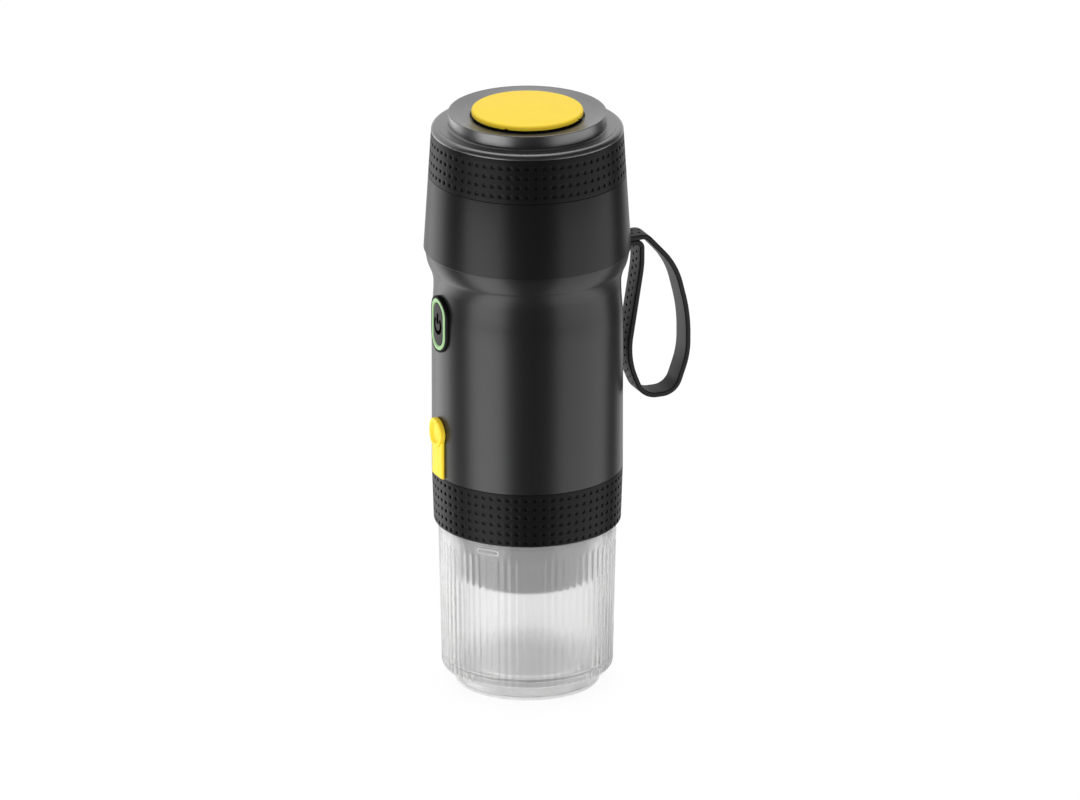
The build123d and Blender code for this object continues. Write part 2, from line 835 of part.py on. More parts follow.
def make_capsule_holder():
    """Cup for the capsule, with the rim that turns into the brew head's slot."""
    rim_r = brew_slot_r - lift_gap
    rim_in_r = rim_r - holder_rim_t
    rim_top_z = brew_slot_z - lift_gap
    flare_top_z = brew_end_z - lift_gap
    seat_z = brew_end_z + capsule_seat_up
    points = [
        (outlet_r, holder_z),
        (holder_r, holder_z),
        (holder_r, holder_z + holder_straight_h),
        (brew_neck_r, flare_top_z),
        (rim_r, flare_top_z),
        (rim_r, rim_top_z),
        (rim_in_r, rim_top_z),
        (rim_in_r, seat_z),
        (capsule_mouth_r, seat_z),
        (capsule_end_r, holder_floor_z),
        (outlet_r, holder_floor_z),
    ]
    rounds = [
        ((holder_r, holder_z), holder_round),
        ((capsule_mouth_r, seat_z), capsule_mouth_round),
    ]
    return turned(points, rounds)


def make_pierce_plate():
    """Plate on the holder's floor whose blunt points open the capsule."""
    top = holder_floor_z + pierce_t
    plate = tube(capsule_end_r - 2 * seat_play, pierce_hole_r, holder_floor_z, top)
    for x, y in ring_places(spikes):
        plate += loft([
            Pos(x, y, top) * RegularPolygon(spike_low_r, 4),
            Pos(x, y, top + spike_h) * RegularPolygon(spike_top_r, 4),
        ])
    return plate


def make_lid_shell():
    """Cap with the raised rim, the dish inside it and the well of the vent button."""
    dish_middle = (well_r + dish_flat_w, dish_z + dish_flat_rise)
    points = [
        (spring_well_r, well_z),
        (well_r, well_z),
        (well_r, dish_z),
        dish_middle,
        (lid_rim_r, rim_z),
        (lid_rim_r, shoulder_z),
        (lid_shoulder_r, shoulder_z),
        (lid_grip_top_r, lid_grip_z),
        (lid_neck_r, lid_grip_z),
        (lid_skirt_r, lid_z),
        (lid_bore_r, lid_z),
        (lid_bore_r, ceiling_z),
        (lid_rim_r - rim_wall, ceiling_z),
        (lid_rim_r - rim_wall, under_dish_z),
        (spring_well_r, under_dish_z),
    ]
    rounds = [
        (dish_middle, dish_round),
        ((lid_rim_r, rim_z), rim_round),
        ((lid_rim_r, shoulder_z), rim_root_round),
        ((lid_shoulder_r, shoulder_z), shoulder_round),
    ]
    return turned(points, rounds)


def make_upper_grip():
    points = [
        (lid_skirt_r, lid_z),
        (head_top_r, lid_z),
        (lid_grip_top_r, lid_grip_z),
        (lid_neck_r, lid_grip_z),
    ]
    return turned(points, [((head_top_r, lid_z), head_round)])


def make_lid_liner():
    """Plug that closes the tank, with the guide for the vent's stem in its middle."""
    guide_r = spring_well_r + guide_wall
    seal_top = seal_z + seal_t
    points = [
        (stem_r + lift_gap, plug_low_z),
        (liner_plug_r, plug_low_z),
        (liner_plug_r, seal_top),
        (liner_flange_r, seal_top),
        (liner_flange_r, ceiling_z),
        (liner_plug_r - liner_wall, ceiling_z),
        (liner_plug_r - liner_wall, plug_low_z + liner_wall),
        (guide_r, plug_low_z + liner_wall),
        (guide_r, under_dish_z),
        (spring_well_r, under_dish_z),
        (spring_well_r, spring_seat_z),
        (stem_r + lift_gap, spring_seat_z),
    ]
    return turned(points)


def make_lid_seal():
    return tube(liner_flange_r, liner_plug_r + 2 * seat_play, seal_z, seal_z + seal_t)


def make_vent_pad():
    """Soft round pad with notches in its lower edge."""
    pad = turned(
        [(0, pad_low_z), (pad_r, pad_low_z), (pad_r, pad_top_z), (0, pad_top_z)],
        [((pad_r, pad_top_z), pad_round)],
    )
    notch = Box(2 * pad_notch_d, pad_notch_w, pad_t / 2)
    for step in range(pad_notches):
        angle = 360 * (step + 0.5) / pad_notches
        x, y = on_ring(pad_r - pad_notch_d / 2, angle)
        pad -= Pos(x, y, pad_low_z) * Rot(0, 0, angle) * notch
    return pad


def make_vent_plunger():
    """Stiff disc under the pad with the stem that opens the valve."""
    foot_z = plug_low_z - lift_gap - valve_t - clip_t - stem_over
    cap_r = pad_r - seat_play
    points = [
        (0, foot_z),
        (stem_r, foot_z),
        (stem_r, cap_low_z),
        (cap_r, cap_low_z),
        (cap_r, pad_low_z),
        (0, pad_low_z),
    ]
    return turned(points)


def make_vent_valve():
    top = plug_low_z - lift_gap
    return tube(valve_r, stem_r, top - valve_t, top)


def make_vent_clip():
    top = plug_low_z - lift_gap - valve_t
    return tube(stem_r + clip_w, stem_r, top - clip_t, top)


def make_vent_spring():
    low = spring_seat_z + spring_wire_r
    height = cap_low_z - spring_wire_r - low
    path = Helix(height / spring_turns, height, spring_r, center=(0, 0, low))
    section = Plane(origin=path @ 0, z_dir=path % 0) * Circle(spring_wire_r)
    return sweep(section, path=path, is_frenet=True)


def strap_centre():
    """Edges of the loop's closed centreline, from the upper end round to the lower one."""
    upper = strap_top_z - strap_t / 2
    lower = upper - strap_t
    corners = [(flare_r + out, head_z - down) for out, down, _ in strap_route]
    points = [(flare_r, upper), (flare_r + strap_out, upper)]
    points += corners + [(flare_r + strap_in, lower), (flare_r, lower)]
    radii = [strap_out_bend] + [radius for _, _, radius in strap_route] + [strap_in_bend]
    return FilletPolyline(*points, radius=radii) + Line(points[-1], points[0])


def make_strap():
    """Flat loop cut from the side view, with both ends laid together in the slot."""
    loop = make_face(strap_centre())
    band = offset(loop, amount=strap_t / 2) - offset(loop, amount=-strap_t / 2)
    length = flare_r + strap_t / 2 - strap_inner_y
    root = Pos(strap_inner_y + length / 2, strap_top_z - strap_t) * Rectangle(length, 2 * strap_t)
    strap = extrude(Plane.YZ * (band + root), strap_w / 2, both=True)
    return strap - rod(pin_r + hole_play, slot_low_z, head_z, 0, pin_y)


def make_strap_bracket():
    """Ledge on the inside of the wall that carries the pin through the strap's ends."""
    low = slot_low_z - bracket_t
    ledge = block(around(0, bracket_w), (tank_r + 2 * lift_gap, flare_r), (low, slot_low_z))
    ledge &= barrel_envelope(barrel_wall)
    return ledge - rod(pin_r + hole_play, slot_low_z - pin_depth, head_z, 0, pin_y)


def make_strap_pin():
    return rod(pin_r, slot_low_z - pin_depth, strap_top_z, 0, pin_y)


def screw(radius, length, head_r, head_h):
    """Pan-head screw with its head's underside at the origin, pointing down."""
    body = rod(radius, -length, 0) + rod(head_r, 0, head_h)
    slot_z = (head_h / 2, head_h + cut_over)
    return body - block(around(0, screw_slot_w), around(0, 2 * head_r), slot_z)


def make_frame_screws():
    one = screw(screw_r, screw_l, screw_head_r, screw_head_h)
    return [Pos(x, y, deck_z) * one for x, y in frame_screw_places()]


def make_motor_screws():
    one = screw(small_screw_r, pump_base_t, small_screw_head_r, small_screw_head_h)
    return [Pos(x, y, pump_base_z) * one for x, y in motor_screw_places()]


def make_board_screws():
    one = screw(small_screw_r, small_screw_l, small_screw_head_r, small_screw_head_h)
    one = Rot(90, 0, 0) * one
    return [Pos(x, board_front_y, z) * one for x, z in board_screw_places()]


nodes = {
    "cup_foot": make_cup_foot,
    "cup": make_cup,
    "lower_grip": make_lower_grip,
    "barrel_shell": make_barrel_shell,
    "head_shell": make_head_shell,
    "water_tank": make_water_tank,
    "tank_seat": make_tank_seat,
    "heater_plate": make_heater_plate,
    "temperature_probe": make_temperature_probe,
    "chassis": make_chassis,
    "battery_cells": make_battery_cells,
    "pump_motor": make_pump_motor,
    "pump_block": make_pump_block,
    "pump_shaft": make_pump_shaft,
    "pump_cam": make_pump_cam,
    "pump_plunger": make_pump_plunger,
    "inlet_tube": make_inlet_tube,
    "outlet_tube": make_outlet_tube,
    "control_board": make_control_board,
    "power_switch": make_power_switch,
    "usb_socket": make_usb_socket,
    "button_bezel": make_button_bezel,
    "light_ring": make_light_ring,
    "power_key": make_power_key,
    "port_cover": make_port_cover,
    "port_cover_root": make_port_cover_root,
    "brew_head": make_brew_head,
    "brew_seal": make_brew_seal,
    "shower_screen": make_shower_screen,
    "capsule_holder": make_capsule_holder,
    "pierce_plate": make_pierce_plate,
    "lid_shell": make_lid_shell,
    "upper_grip": make_upper_grip,
    "lid_liner": make_lid_liner,
    "lid_seal": make_lid_seal,
    "vent_pad": make_vent_pad,
    "vent_plunger": make_vent_plunger,
    "vent_valve": make_vent_valve,
    "vent_clip": make_vent_clip,
    "vent_spring": make_vent_spring,
    "strap": make_strap,
    "strap_bracket": make_strap_bracket,
    "strap_pin": make_strap_pin,
    "frame_screws": make_frame_screws,
    "motor_screws": make_motor_screws,
    "board_screws": make_board_screws,
}

for name, make in nodes.items():
    made = make()
    shape = Compound(children=made) if isinstance(made, list) else made
    export_step(shape, f"parts/{name}.step")
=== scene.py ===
from math import atan2, cos, hypot, pi, radians, sin, sqrt, tan

import bmesh
import bpy
from bpy.props import FloatProperty, FloatVectorProperty, IntProperty, PointerProperty
from mathutils import Matrix, Vector


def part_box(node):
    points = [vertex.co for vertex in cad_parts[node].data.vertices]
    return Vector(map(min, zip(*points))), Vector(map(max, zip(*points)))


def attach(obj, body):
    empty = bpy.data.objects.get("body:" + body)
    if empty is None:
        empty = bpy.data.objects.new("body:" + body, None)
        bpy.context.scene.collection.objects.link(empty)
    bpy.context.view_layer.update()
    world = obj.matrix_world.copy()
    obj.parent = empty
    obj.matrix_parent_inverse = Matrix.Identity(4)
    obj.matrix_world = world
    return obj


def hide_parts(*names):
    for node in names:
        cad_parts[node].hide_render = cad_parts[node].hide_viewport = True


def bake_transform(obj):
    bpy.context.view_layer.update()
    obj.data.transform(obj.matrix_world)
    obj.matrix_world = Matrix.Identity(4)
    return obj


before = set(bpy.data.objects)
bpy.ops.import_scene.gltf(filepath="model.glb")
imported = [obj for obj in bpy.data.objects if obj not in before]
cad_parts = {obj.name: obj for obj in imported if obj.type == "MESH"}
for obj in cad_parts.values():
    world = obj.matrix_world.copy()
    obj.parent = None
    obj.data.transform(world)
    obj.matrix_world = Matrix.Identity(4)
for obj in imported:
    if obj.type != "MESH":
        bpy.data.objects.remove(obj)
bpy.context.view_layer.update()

bl_info = {
    "name": "Portable Coffee Maker",
    "version": (1, 0, 0),
    "blender": (4, 5, 0),
    "location": "View3D > Sidebar > Coffee Maker",
    "description": "Shells, grips, cup, strap and finishes of a portable coffee maker",
    "category": "Mesh",
}

MM = 0.001
TURN_STEPS = 192  # sides of a turned piece
SMALL_STEPS = 64  # sides of the key, its ring and the port cover
ROUND_STEPS = 5  # facets of a small rounded corner
ARC_STEPS = 14  # facets of a long gentle arc
LONG_ARC = 1.5 * MM  # an arc with a longer run than this is a long one
WELD = 0.001 * MM  # points closer than this become one
SHARP = radians(35)  # edges sharper than this stay sharp in shading

# Hidden sizes, which follow the frame's solids
CUP_NECK_RADIUS = 31.4 * MM
CUP_MOUTH_RADIUS = 30.2 * MM
CUP_NECK_HEIGHT = 6.5 * MM
CUP_FLOOR_THICKNESS = 2.0 * MM
CUP_RING_WIDTH = 2.6 * MM
BARREL_WALL = 1.6 * MM
WAIST_HEIGHT = 1.0 * MM
FLARE_LIP = 0.6 * MM
BORE_RADIUS = 31.7 * MM
SLEEVE_THICKNESS = 1.2 * MM
LID_BED = 1.3 * MM
DIMPLE_ROW = 2.1 * MM
COLLAR_RADIUS = 32.25 * MM
COLLAR_WALL = 1.3 * MM
HEAD_WALL = 2.1 * MM
HEAD_WEB = 2.4 * MM
RING_DEPTH = 2.3 * MM
KEY_GAP = 0.3 * MM
COVER_LIFT = 0.15 * MM
STRAP_ROW = 3.0 * MM
STRAP_TILE = 1.7 * MM


def linear(hex_colour):
    """Linear RGB of an sRGB hex value."""
    levels = [int(hex_colour[place:place + 2], 16) / 255 for place in (1, 3, 5)]
    return [
        level / 12.92 if level <= 0.04045 else ((level + 0.055) / 1.055) ** 2.4 for level in levels]


def length_property(name, description, millimetres):
    return FloatProperty(
        name=name, description=description, default=millimetres * MM, min=0, precision=5,
        unit="LENGTH")


def count_property(name, description, count):
    return IntProperty(name=name, description=description, default=count, min=1)


def angle_property(name, description, degrees):
    return FloatProperty(
        name=name, description=description, default=radians(degrees), unit="ROTATION")


def colour_property(name, description, hex_colour):
    return FloatVectorProperty(
        name=name, description=description, default=linear(hex_colour), size=3, min=0, max=1,
        subtype="COLOR")


class CoffeeMakerSizes(bpy.types.PropertyGroup):
    """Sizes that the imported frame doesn't give."""

    flutes: count_property("Flutes", "Upright flutes round the cup", 70)
    flute_depth: length_property("Flute depth", "Crest to valley", 0.22)
    flute_top: length_property("Flute top", "Smooth band above the flutes", 4.6)
    cup_corner: length_property("Cup corner", "Rounding above the foot ring", 3.1)
    cup_base: length_property("Cup base", "Height of the cup's lower corner", 5.1)
    cup_low_radius: length_property("Cup low radius", "Radius at the lower corner", 31.3)
    cup_top_radius: length_property("Cup top radius", "Radius at the shoulder", 32.6)
    cup_inner_radius: length_property("Cup inner radius", "Inside radius at the floor", 30.0)
    cup_floor: length_property("Cup floor", "Height of the floor inside", 9.3)

    barrel_radius: length_property("Barrel radius", "Radius of the straight barrel", 34.9)
    waist_radius: length_property("Waist radius", "Radius of the shallow waist", 34.2)
    waist_run: length_property("Waist run", "Height in which the barrel draws in", 14.0)
    flare_run: length_property("Flare run", "Height in which the waist opens out", 12.3)
    lower_taper: length_property("Lower sleeve taper", "Narrowing towards the cup", 0.7)
    upper_taper: length_property("Upper sleeve taper", "Narrowing towards the lid's top", 1.02)

    dimple_radius: length_property("Dimple radius", "Radius of a dimple in a sleeve", 0.74)
    dimple_depth: length_property("Dimple depth", "Depth of a dimple in a sleeve", 0.42)
    upper_columns: count_property("Upper columns", "Dimples round the upper sleeve", 70)
    upper_rows: count_property("Upper rows", "Rows of dimples on the upper sleeve", 4)
    upper_pitch: length_property("Upper pitch", "Rise between the upper rows", 3.55)
    upper_first: length_property("Upper first row", "Lowest upper row above its edge", 2.6)
    lower_columns: count_property("Lower columns", "Dimples round the lower sleeve", 68)
    lower_rows: count_property("Lower rows", "Rows of dimples on the lower sleeve", 6)
    lower_pitch: length_property("Lower pitch", "Rise between the lower rows", 3.3)
    lower_first: length_property("Lower first row", "Lowest lower row above its edge", 1.75)

    head_low_radius: length_property("Head low radius", "Head's lower edge", 37.8)
    head_top_radius: length_property("Head top radius", "Head's upper edge", 36.05)
    lid_rim_radius: length_property("Lid rim radius", "Outer radius of the raised rim", 28.8)
    lid_rim_height: length_property("Lid rim height", "Rise of the rim above the shoulder", 5.2)
    dish_depth: length_property("Dish depth", "Dish below the rim, beside the pad", 1.6)
    dish_flat: length_property("Dish flat", "Width of the dish's shallow part", 3.5)
    lid_shoulder_radius: length_property("Lid shoulder radius", "Radius of the shoulder", 34.98)

    bezel_hole_width: length_property("Bezel hole width", "Width of the light ring's hole", 12.0)
    bezel_hole_length: length_property("Bezel hole length", "Height of that hole", 19.5)
    bezel_proud: length_property("Bezel proud", "Bezel's face above the barrel", 0.8)
    ring_stroke: length_property("Ring stroke", "Width of the light ring's band", 1.35)
    ring_proud: length_property("Ring proud", "Ring's face above the barrel", 0.9)
    key_proud: length_property("Key proud", "Key's face above the barrel", 0.7)
    symbol_radius: length_property("Symbol radius", "Outer radius of the power sign", 3.5)
    symbol_stroke: length_property("Symbol stroke", "Width of the sign's strokes", 1.4)
    symbol_bar: length_property("Symbol bar", "Length of the sign's upright stroke", 4.0)

    cover_radius: length_property("Cover radius", "Radius of the port cover's cap", 5.4)
    cover_proud: length_property("Cover proud", "Cap's face above the barrel", 2.2)
    cover_dish: length_property("Cover dish", "Radius of the finger dish in the cap", 4.2)
    tail_width: length_property("Tail width", "Width of the cover's tail", 9.0)
    tail_proud: length_property("Tail proud", "Tail's face above the barrel", 1.2)

    strap_thickness: length_property("Strap thickness", "Thickness of the strap", 1.9)
    strap_edge: length_property("Strap edge", "Rounding of the strap's edges", 0.45)
    strap_dimple: length_property("Strap dimple", "Radius of a dimple in the strap", 0.6)
    strap_pitch: length_property("Strap pitch", "Spacing of its dimples along a row", 2.72)


class CoffeeMakerColours(bpy.types.PropertyGroup):
    """Colours of the finishes."""

    abs_black: colour_property("Black plastic", "Head, lid and bezel", "#0e0e0f")
    rubber_black: colour_property("Black rubber", "Grip sleeves", "#0d0d0e")
    strap_black: colour_property("Strap black", "Strap", "#141415")
    barrel_grey: colour_property("Barrel grey", "Sprayed barrel", "#161617")
    yellow: colour_property("Yellow", "Vent button and port cover", "#fad62e")
    cup_clear: colour_property("Cup", "Clear cup", "#f7f7f7")
    light_green: colour_property("Light ring", "Light ring round the key", "#88ab79")
    key_grey: colour_property("Key grey", "Power key", "#2c2b2d")
    ink_black: colour_property("Sign black", "Sign on the power key", "#080808")
    holder_grey: colour_property("Holder grey", "Capsule holder and brew head", "#2a2a2b")


class CoffeeMakerStudio(bpy.types.PropertyGroup):
    """Camera and light."""

    azimuth: angle_property("Azimuth", "Camera's angle round the object from the front", 67)
    elevation: angle_property("Elevation", "Camera's angle above the horizon", 19.8)
    distance: FloatProperty(
        name="Distance", description="Camera to object", default=8.0, unit="LENGTH")
    lens: FloatProperty(name="Lens", description="Focal length", default=731.4, unit="CAMERA")
    aim_height: length_property("Aim height", "Height of the point that the camera looks at", 107.2)
    aim_side: length_property("Aim side", "That point's place to the right of the axis", 4.61)


def bevel(bm, geom, offset, segments, affect="VERTICES"):
    bmesh.ops.bevel(
        bm, geom=geom, offset=offset, offset_type="OFFSET", affect=affect, material=-1,
        segments=segments, profile=0.5)


def sweep(bm, geom, axis, angle, steps, step=(0, 0, 0), merge=False):
    bmesh.ops.spin(
        bm, geom=geom, cent=(0, 0, 0), axis=axis, dvec=step, angle=angle, steps=steps,
        use_merge=merge, use_normal_flip=False, use_duplicate=False)


def turn_about_z(bm, angle):
    bmesh.ops.rotate(bm, verts=bm.verts[:], matrix=Matrix.Rotation(angle, 3, "Z"))


def block(size, middle):
    bm = bmesh.new()
    bmesh.ops.create_cube(bm, size=1)
    bmesh.ops.scale(bm, verts=bm.verts[:], vec=size)
    bmesh.ops.translate(bm, verts=bm.verts[:], vec=middle)
    return bm


def profile(bm, corners, closed):
    """Wire through (radius, height, run) corners. A corner with a run becomes an arc that starts
    that far from it on both sides."""
    verts = [bm.verts.new((radius, 0, height)) for radius, height, _ in corners]
    ends = verts[1:] + verts[:1] if closed else verts[1:]
    for start, end in zip(verts, ends):
        bm.edges.new((start, end))
    for vert, (_, _, run) in zip(verts, corners):
        if run:
            bevel(bm, [vert], run, ARC_STEPS if run > LONG_ARC else ROUND_STEPS)


def lathe(corners, steps=TURN_STEPS):
    """Turned shape. Its outline is closed unless both ends lie on the axis."""
    bm = bmesh.new()
    profile(bm, corners, closed=bool(corners[0][0] or corners[-1][0]))
    sweep(bm, bm.verts[:] + bm.edges[:], (0, 0, 1), 2 * pi, steps, merge=True)
    bmesh.ops.remove_doubles(bm, verts=bm.verts[:], dist=WELD)
    bmesh.ops.recalc_face_normals(bm, faces=bm.faces[:])
    return bm


def ogee(start, end):
    """Two corners that join two upright lines by a pair of equal arcs."""
    wide, high = (end[0] - start[0]) / 2, (end[1] - start[1]) / 2
    run = (wide * wide + high * high) / (2 * abs(high))
    step = run if high > 0 else -run
    return [(start[0], start[1] + step, run), (end[0], end[1] - step, run)]


def add_piece(name, bm, finish, body, replaced=()):
    """Finished mesh as a piece that rides on its body and stands for CAD nodes."""
    mesh = bpy.data.meshes.new(name)
    bm.to_mesh(mesh)
    bm.free()
    return add_mesh(name, mesh, finish, body, replaced)


def add_mesh(name, mesh, finish, body, replaced=()):
    mesh.materials.clear()
    mesh.materials.append(material_of(finish))
    mesh.shade_smooth()
    mesh.set_sharp_from_angle(angle=SHARP)
    piece = bpy.data.objects.new(name, mesh)
    bpy.context.scene.collection.objects.link(piece)
    if body:
        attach(piece, body)
    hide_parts(*replaced)
    return piece


def cut(bm, cutters, operation="DIFFERENCE"):
    """The shape with the cutters' shapes taken out of it or joined to it, as a mesh."""
    objects = []
    for shape in [bm] + cutters:
        mesh = bpy.data.meshes.new("work")
        shape.to_mesh(mesh)
        shape.free()
        work = bpy.data.objects.new("work", mesh)
        bpy.context.scene.collection.objects.link(work)
        objects.append(work)
    for cutter in objects[1:]:
        step = objects[0].modifiers.new("cut", "BOOLEAN")
        step.operation = operation
        step.solver = "EXACT"
        step.object = cutter
    graph = bpy.context.evaluated_depsgraph_get()
    made = bpy.data.meshes.new_from_object(objects[0].evaluated_get(graph))
    for work in objects:
        bpy.data.objects.remove(work)
    return made


def stretch(bm, inner, outer):
    """Pulls a turned shape's two halves apart along Y to a stadium. Inner and outer are
    (radius, pull) pairs, and a point between those radii is pulled by a share of each."""
    for vert in bm.verts:
        radius = hypot(vert.co.x, vert.co.y)
        span = outer[0] - inner[0]
        share = min(1, max(0, (radius - inner[0]) / span)) if span else 0
        pull = inner[1] + share * (outer[1] - inner[1])
        vert.co.y += pull / 2 if vert.co.y > 0 else -pull / 2


def to_front(bm, radius, height):
    """Stands a shape that lies on the XY plane up against the barrel's front, curved to it."""
    for vert in bm.verts:
        x, up, proud = vert.co
        vert.co = (x, -sqrt((radius + proud) ** 2 - x * x), height + up)


def stadium(corners, steps, inner, outer):
    """Turned shape pulled to a stadium, with no point on the line where it parts."""
    bm = lathe(corners, steps)
    turn_about_z(bm, pi / steps)
    stretch(bm, inner, outer)
    return bm


def front_stadium(corners, inner, outer, radius, height, lying=False):
    """Stadium on the barrel's front, upright or lying on its side."""
    bm = stadium(corners, SMALL_STEPS, inner, outer)
    if lying:
        turn_about_z(bm, pi / 2)
    to_front(bm, radius, height)
    return bm


def make_dimples(bm, groups, radius, depth, settle=None):
    """Joins each group of faces to a twelve-sided tile and sinks a round dimple in its middle."""
    tiles = [
        bmesh.ops.dissolve_faces(bm, faces=faces, use_verts=False)["region"][0] for faces in groups]
    bm.normal_update()
    rim = 0.12 * radius
    bmesh.ops.inset_individual(bm, faces=tiles, thickness=rim, depth=0, use_even_offset=True)
    for tile in tiles:
        centre, normal = tile.calc_center_median(), tile.normal.copy()
        side = Vector((0, 0, 1)).cross(normal)
        side = side.normalized() if side.length > 0.1 else Vector((0, 1, 0))
        up = normal.cross(side)
        for vert in tile.verts:
            arm = vert.co - centre
            turn = atan2(arm.dot(up), arm.dot(side))
            turn = round((turn - pi / 12) / (pi / 6)) * pi / 6 + pi / 12
            vert.co = centre + (radius + 2 * rim) * (cos(turn) * side + sin(turn) * up)
            if settle:
                settle(vert)
    for thickness, sink in ((2 * rim, 0.12 * depth), (0.25 * radius, 0.88 * depth)):
        bmesh.ops.inset_individual(
            bm, faces=tiles, thickness=thickness, depth=-sink, use_even_offset=True)


def dimpled_sleeve(low, top, rounds, columns, rows, pitch, first, sizes):
    """Tapered sleeve between (radius, height) points with rows of dimples in its outer face."""

    def outside(height):
        return low[0] + (top[0] - low[0]) * (height - low[1]) / (top[1] - low[1])

    half = DIMPLE_ROW / 2
    levels = []
    for row in range(rows):
        centre = low[1] + first + row * pitch
        levels += [centre - half, centre - half / 3, centre + half / 3, centre + half]
    corners = [(*low, rounds[0])]
    corners += [(outside(level), level, 0) for level in levels]
    corners += [(*top, rounds[1])]
    corners += [(radius - SLEEVE_THICKNESS, height, 0) for radius, height in (top, low)]
    bm = lathe(corners, 3 * columns)
    tiles = {}
    for face in bm.faces:
        centre = face.calc_center_median()
        if hypot(centre.x, centre.y) < outside(centre.z) - SLEEVE_THICKNESS / 3:
            continue
        row = (centre.z - low[1] - first + half) / pitch
        if 0 < row < rows and row % 1 < 2 * half / pitch:
            column = int((atan2(centre.y, centre.x) % (2 * pi)) / (2 * pi) * columns)
            tiles.setdefault((column, int(row)), []).append(face)

    def settle(vert):
        vert.co.xy *= outside(vert.co.z) / hypot(vert.co.x, vert.co.y)

    make_dimples(bm, tiles.values(), sizes.dimple_radius, sizes.dimple_depth, settle)
    return bm


def add_node(material, kind, settings=None, inputs=None):
    """Node of a material, with its settings, and values or links for its inputs."""
    tree = material.node_tree
    node = tree.nodes.new(kind)
    for name, value in (settings or {}).items():
        setattr(node, name, value)
    for name, value in (inputs or {}).items():
        if isinstance(value, bpy.types.NodeSocket):
            tree.links.new(value, node.inputs[name])
        else:
            node.inputs[name].default_value = value
    return node


def new_material(name):
    material = bpy.data.materials.new(name)
    material.use_nodes = True
    material.node_tree.nodes.clear()
    return material


def material_of(finish):
    """The material that a finish function makes, made at its first use."""
    return bpy.data.materials.get(finish.__name__) or finish(new_material(finish.__name__))


def colours():
    return bpy.context.scene.coffee_maker_colours


def shade(colour, factor=1):
    """Opaque colour, made lighter or darker by a factor."""
    return (*[min(1, channel * factor) for channel in colour], 1)


def surface(material, patterns, shader, tint=None, gloss=None, relief=None, vector=None,
            coloured="Base Color"):
    """Principled surface on noises over the Object coordinates. A pattern is (patch size, detail)
    or (patch size, detail, distortion), or a socket. Tint and gloss are (pattern, low, high), and
    relief is (pattern, strength, height)."""
    vector = vector or add_node(material, "ShaderNodeTexCoord").outputs["Object"]
    levels, inputs = {}, dict(shader)
    for name, pattern in patterns.items():
        if isinstance(pattern, tuple):
            patch, detail, distortion = (*pattern, 0.0)[:3]
            pattern = add_node(material, "ShaderNodeTexNoise", inputs={
                "Vector": vector, "Scale": 1 / patch, "Detail": detail,
                "Distortion": distortion}).outputs["Fac"]
        levels[name] = pattern
    if tint:
        mix = add_node(material, "ShaderNodeMix", {"data_type": "RGBA"}, {
            0: levels[tint[0]], 6: tint[1], 7: tint[2]})
        inputs[coloured] = mix.outputs[2]
    if gloss:
        spread = add_node(material, "ShaderNodeMapRange", inputs={
            "Value": levels[gloss[0]], "To Min": gloss[1], "To Max": gloss[2]})
        inputs["Roughness"] = spread.outputs["Result"]
    if relief:
        bump = add_node(material, "ShaderNodeBump", inputs={
            "Height": levels[relief[0]], "Strength": relief[1], "Distance": relief[2]})
        inputs["Normal"] = bump.outputs["Normal"]
    made = add_node(material, "ShaderNodeBsdfPrincipled", inputs=inputs)
    add_node(material, "ShaderNodeOutputMaterial", inputs={"Surface": made.outputs["BSDF"]})
    return material


def moulded_abs_black(material):
    """ABS moulded in a spark-eroded tool: an even grain that widens its highlights. The grain is
    drawn at 0.5 mm, about twice its real size, so that it shows."""
    black = colours().abs_black
    return surface(
        material, {"grain": (0.5 * MM, 3.0), "cloud": (30 * MM, 2.0)},
        {"IOR": 1.53, "Specular IOR Level": 0.25},
        ("grain", shade(black, 0.85), shade(black, 1.15)), ("cloud", 0.3, 0.36),
        ("grain", 0.25, 0.03 * MM))


def etched_abs_black(material):
    """ABS from a deeply etched tool, for the bezel: nearly without gloss beside the bright ring."""
    return surface(
        material, {"grain": (0.5 * MM, 2.0)},
        {"Base Color": shade(colours().abs_black), "Roughness": 0.5, "IOR": 1.53,
         "Specular IOR Level": 0.06}, relief=("grain", 0.3, 0.03 * MM))


def polished_abs_black(material):
    """ABS moulded in a polished tool, for the lid: a smooth satin face with faint flow waves."""
    return surface(
        material, {"flow": (14 * MM, 2.0, 0.4)},
        {"Base Color": shade(colours().abs_black), "IOR": 1.72, "Specular IOR Level": 0.85,
         "Coat Weight": 1.0, "Coat Roughness": 0.34, "Coat IOR": 1.7},
        gloss=("flow", 0.35, 0.41), relief=("flow", 0.1, 0.02 * MM))


def overmoulded_tpe_black(material):
    """Soft TPE overmoulding of the grips: matt and dry, darker than the plastic beside it."""
    black = colours().rubber_black
    return surface(
        material, {"grain": (0.35 * MM, 2.0), "cloud": (12 * MM, 3.0)},
        {"IOR": 1.47, "Specular IOR Level": 0.16},
        ("cloud", shade(black, 0.85), shade(black, 1.15)), ("cloud", 0.36, 0.42),
        ("grain", 0.3, 0.03 * MM))


def moulded_silicone_black(material):
    """Silicone rubber of the strap: matt and slightly dusty, greyer than the grips."""
    black = colours().strap_black
    return surface(
        material, {"grain": (0.4 * MM, 2.0), "cloud": (8 * MM, 3.0)},
        {"Roughness": 0.48, "IOR": 1.43, "Specular IOR Level": 0.36},
        ("cloud", shade(black, 0.85), shade(black, 1.2)), relief=("grain", 0.3, 0.03 * MM))


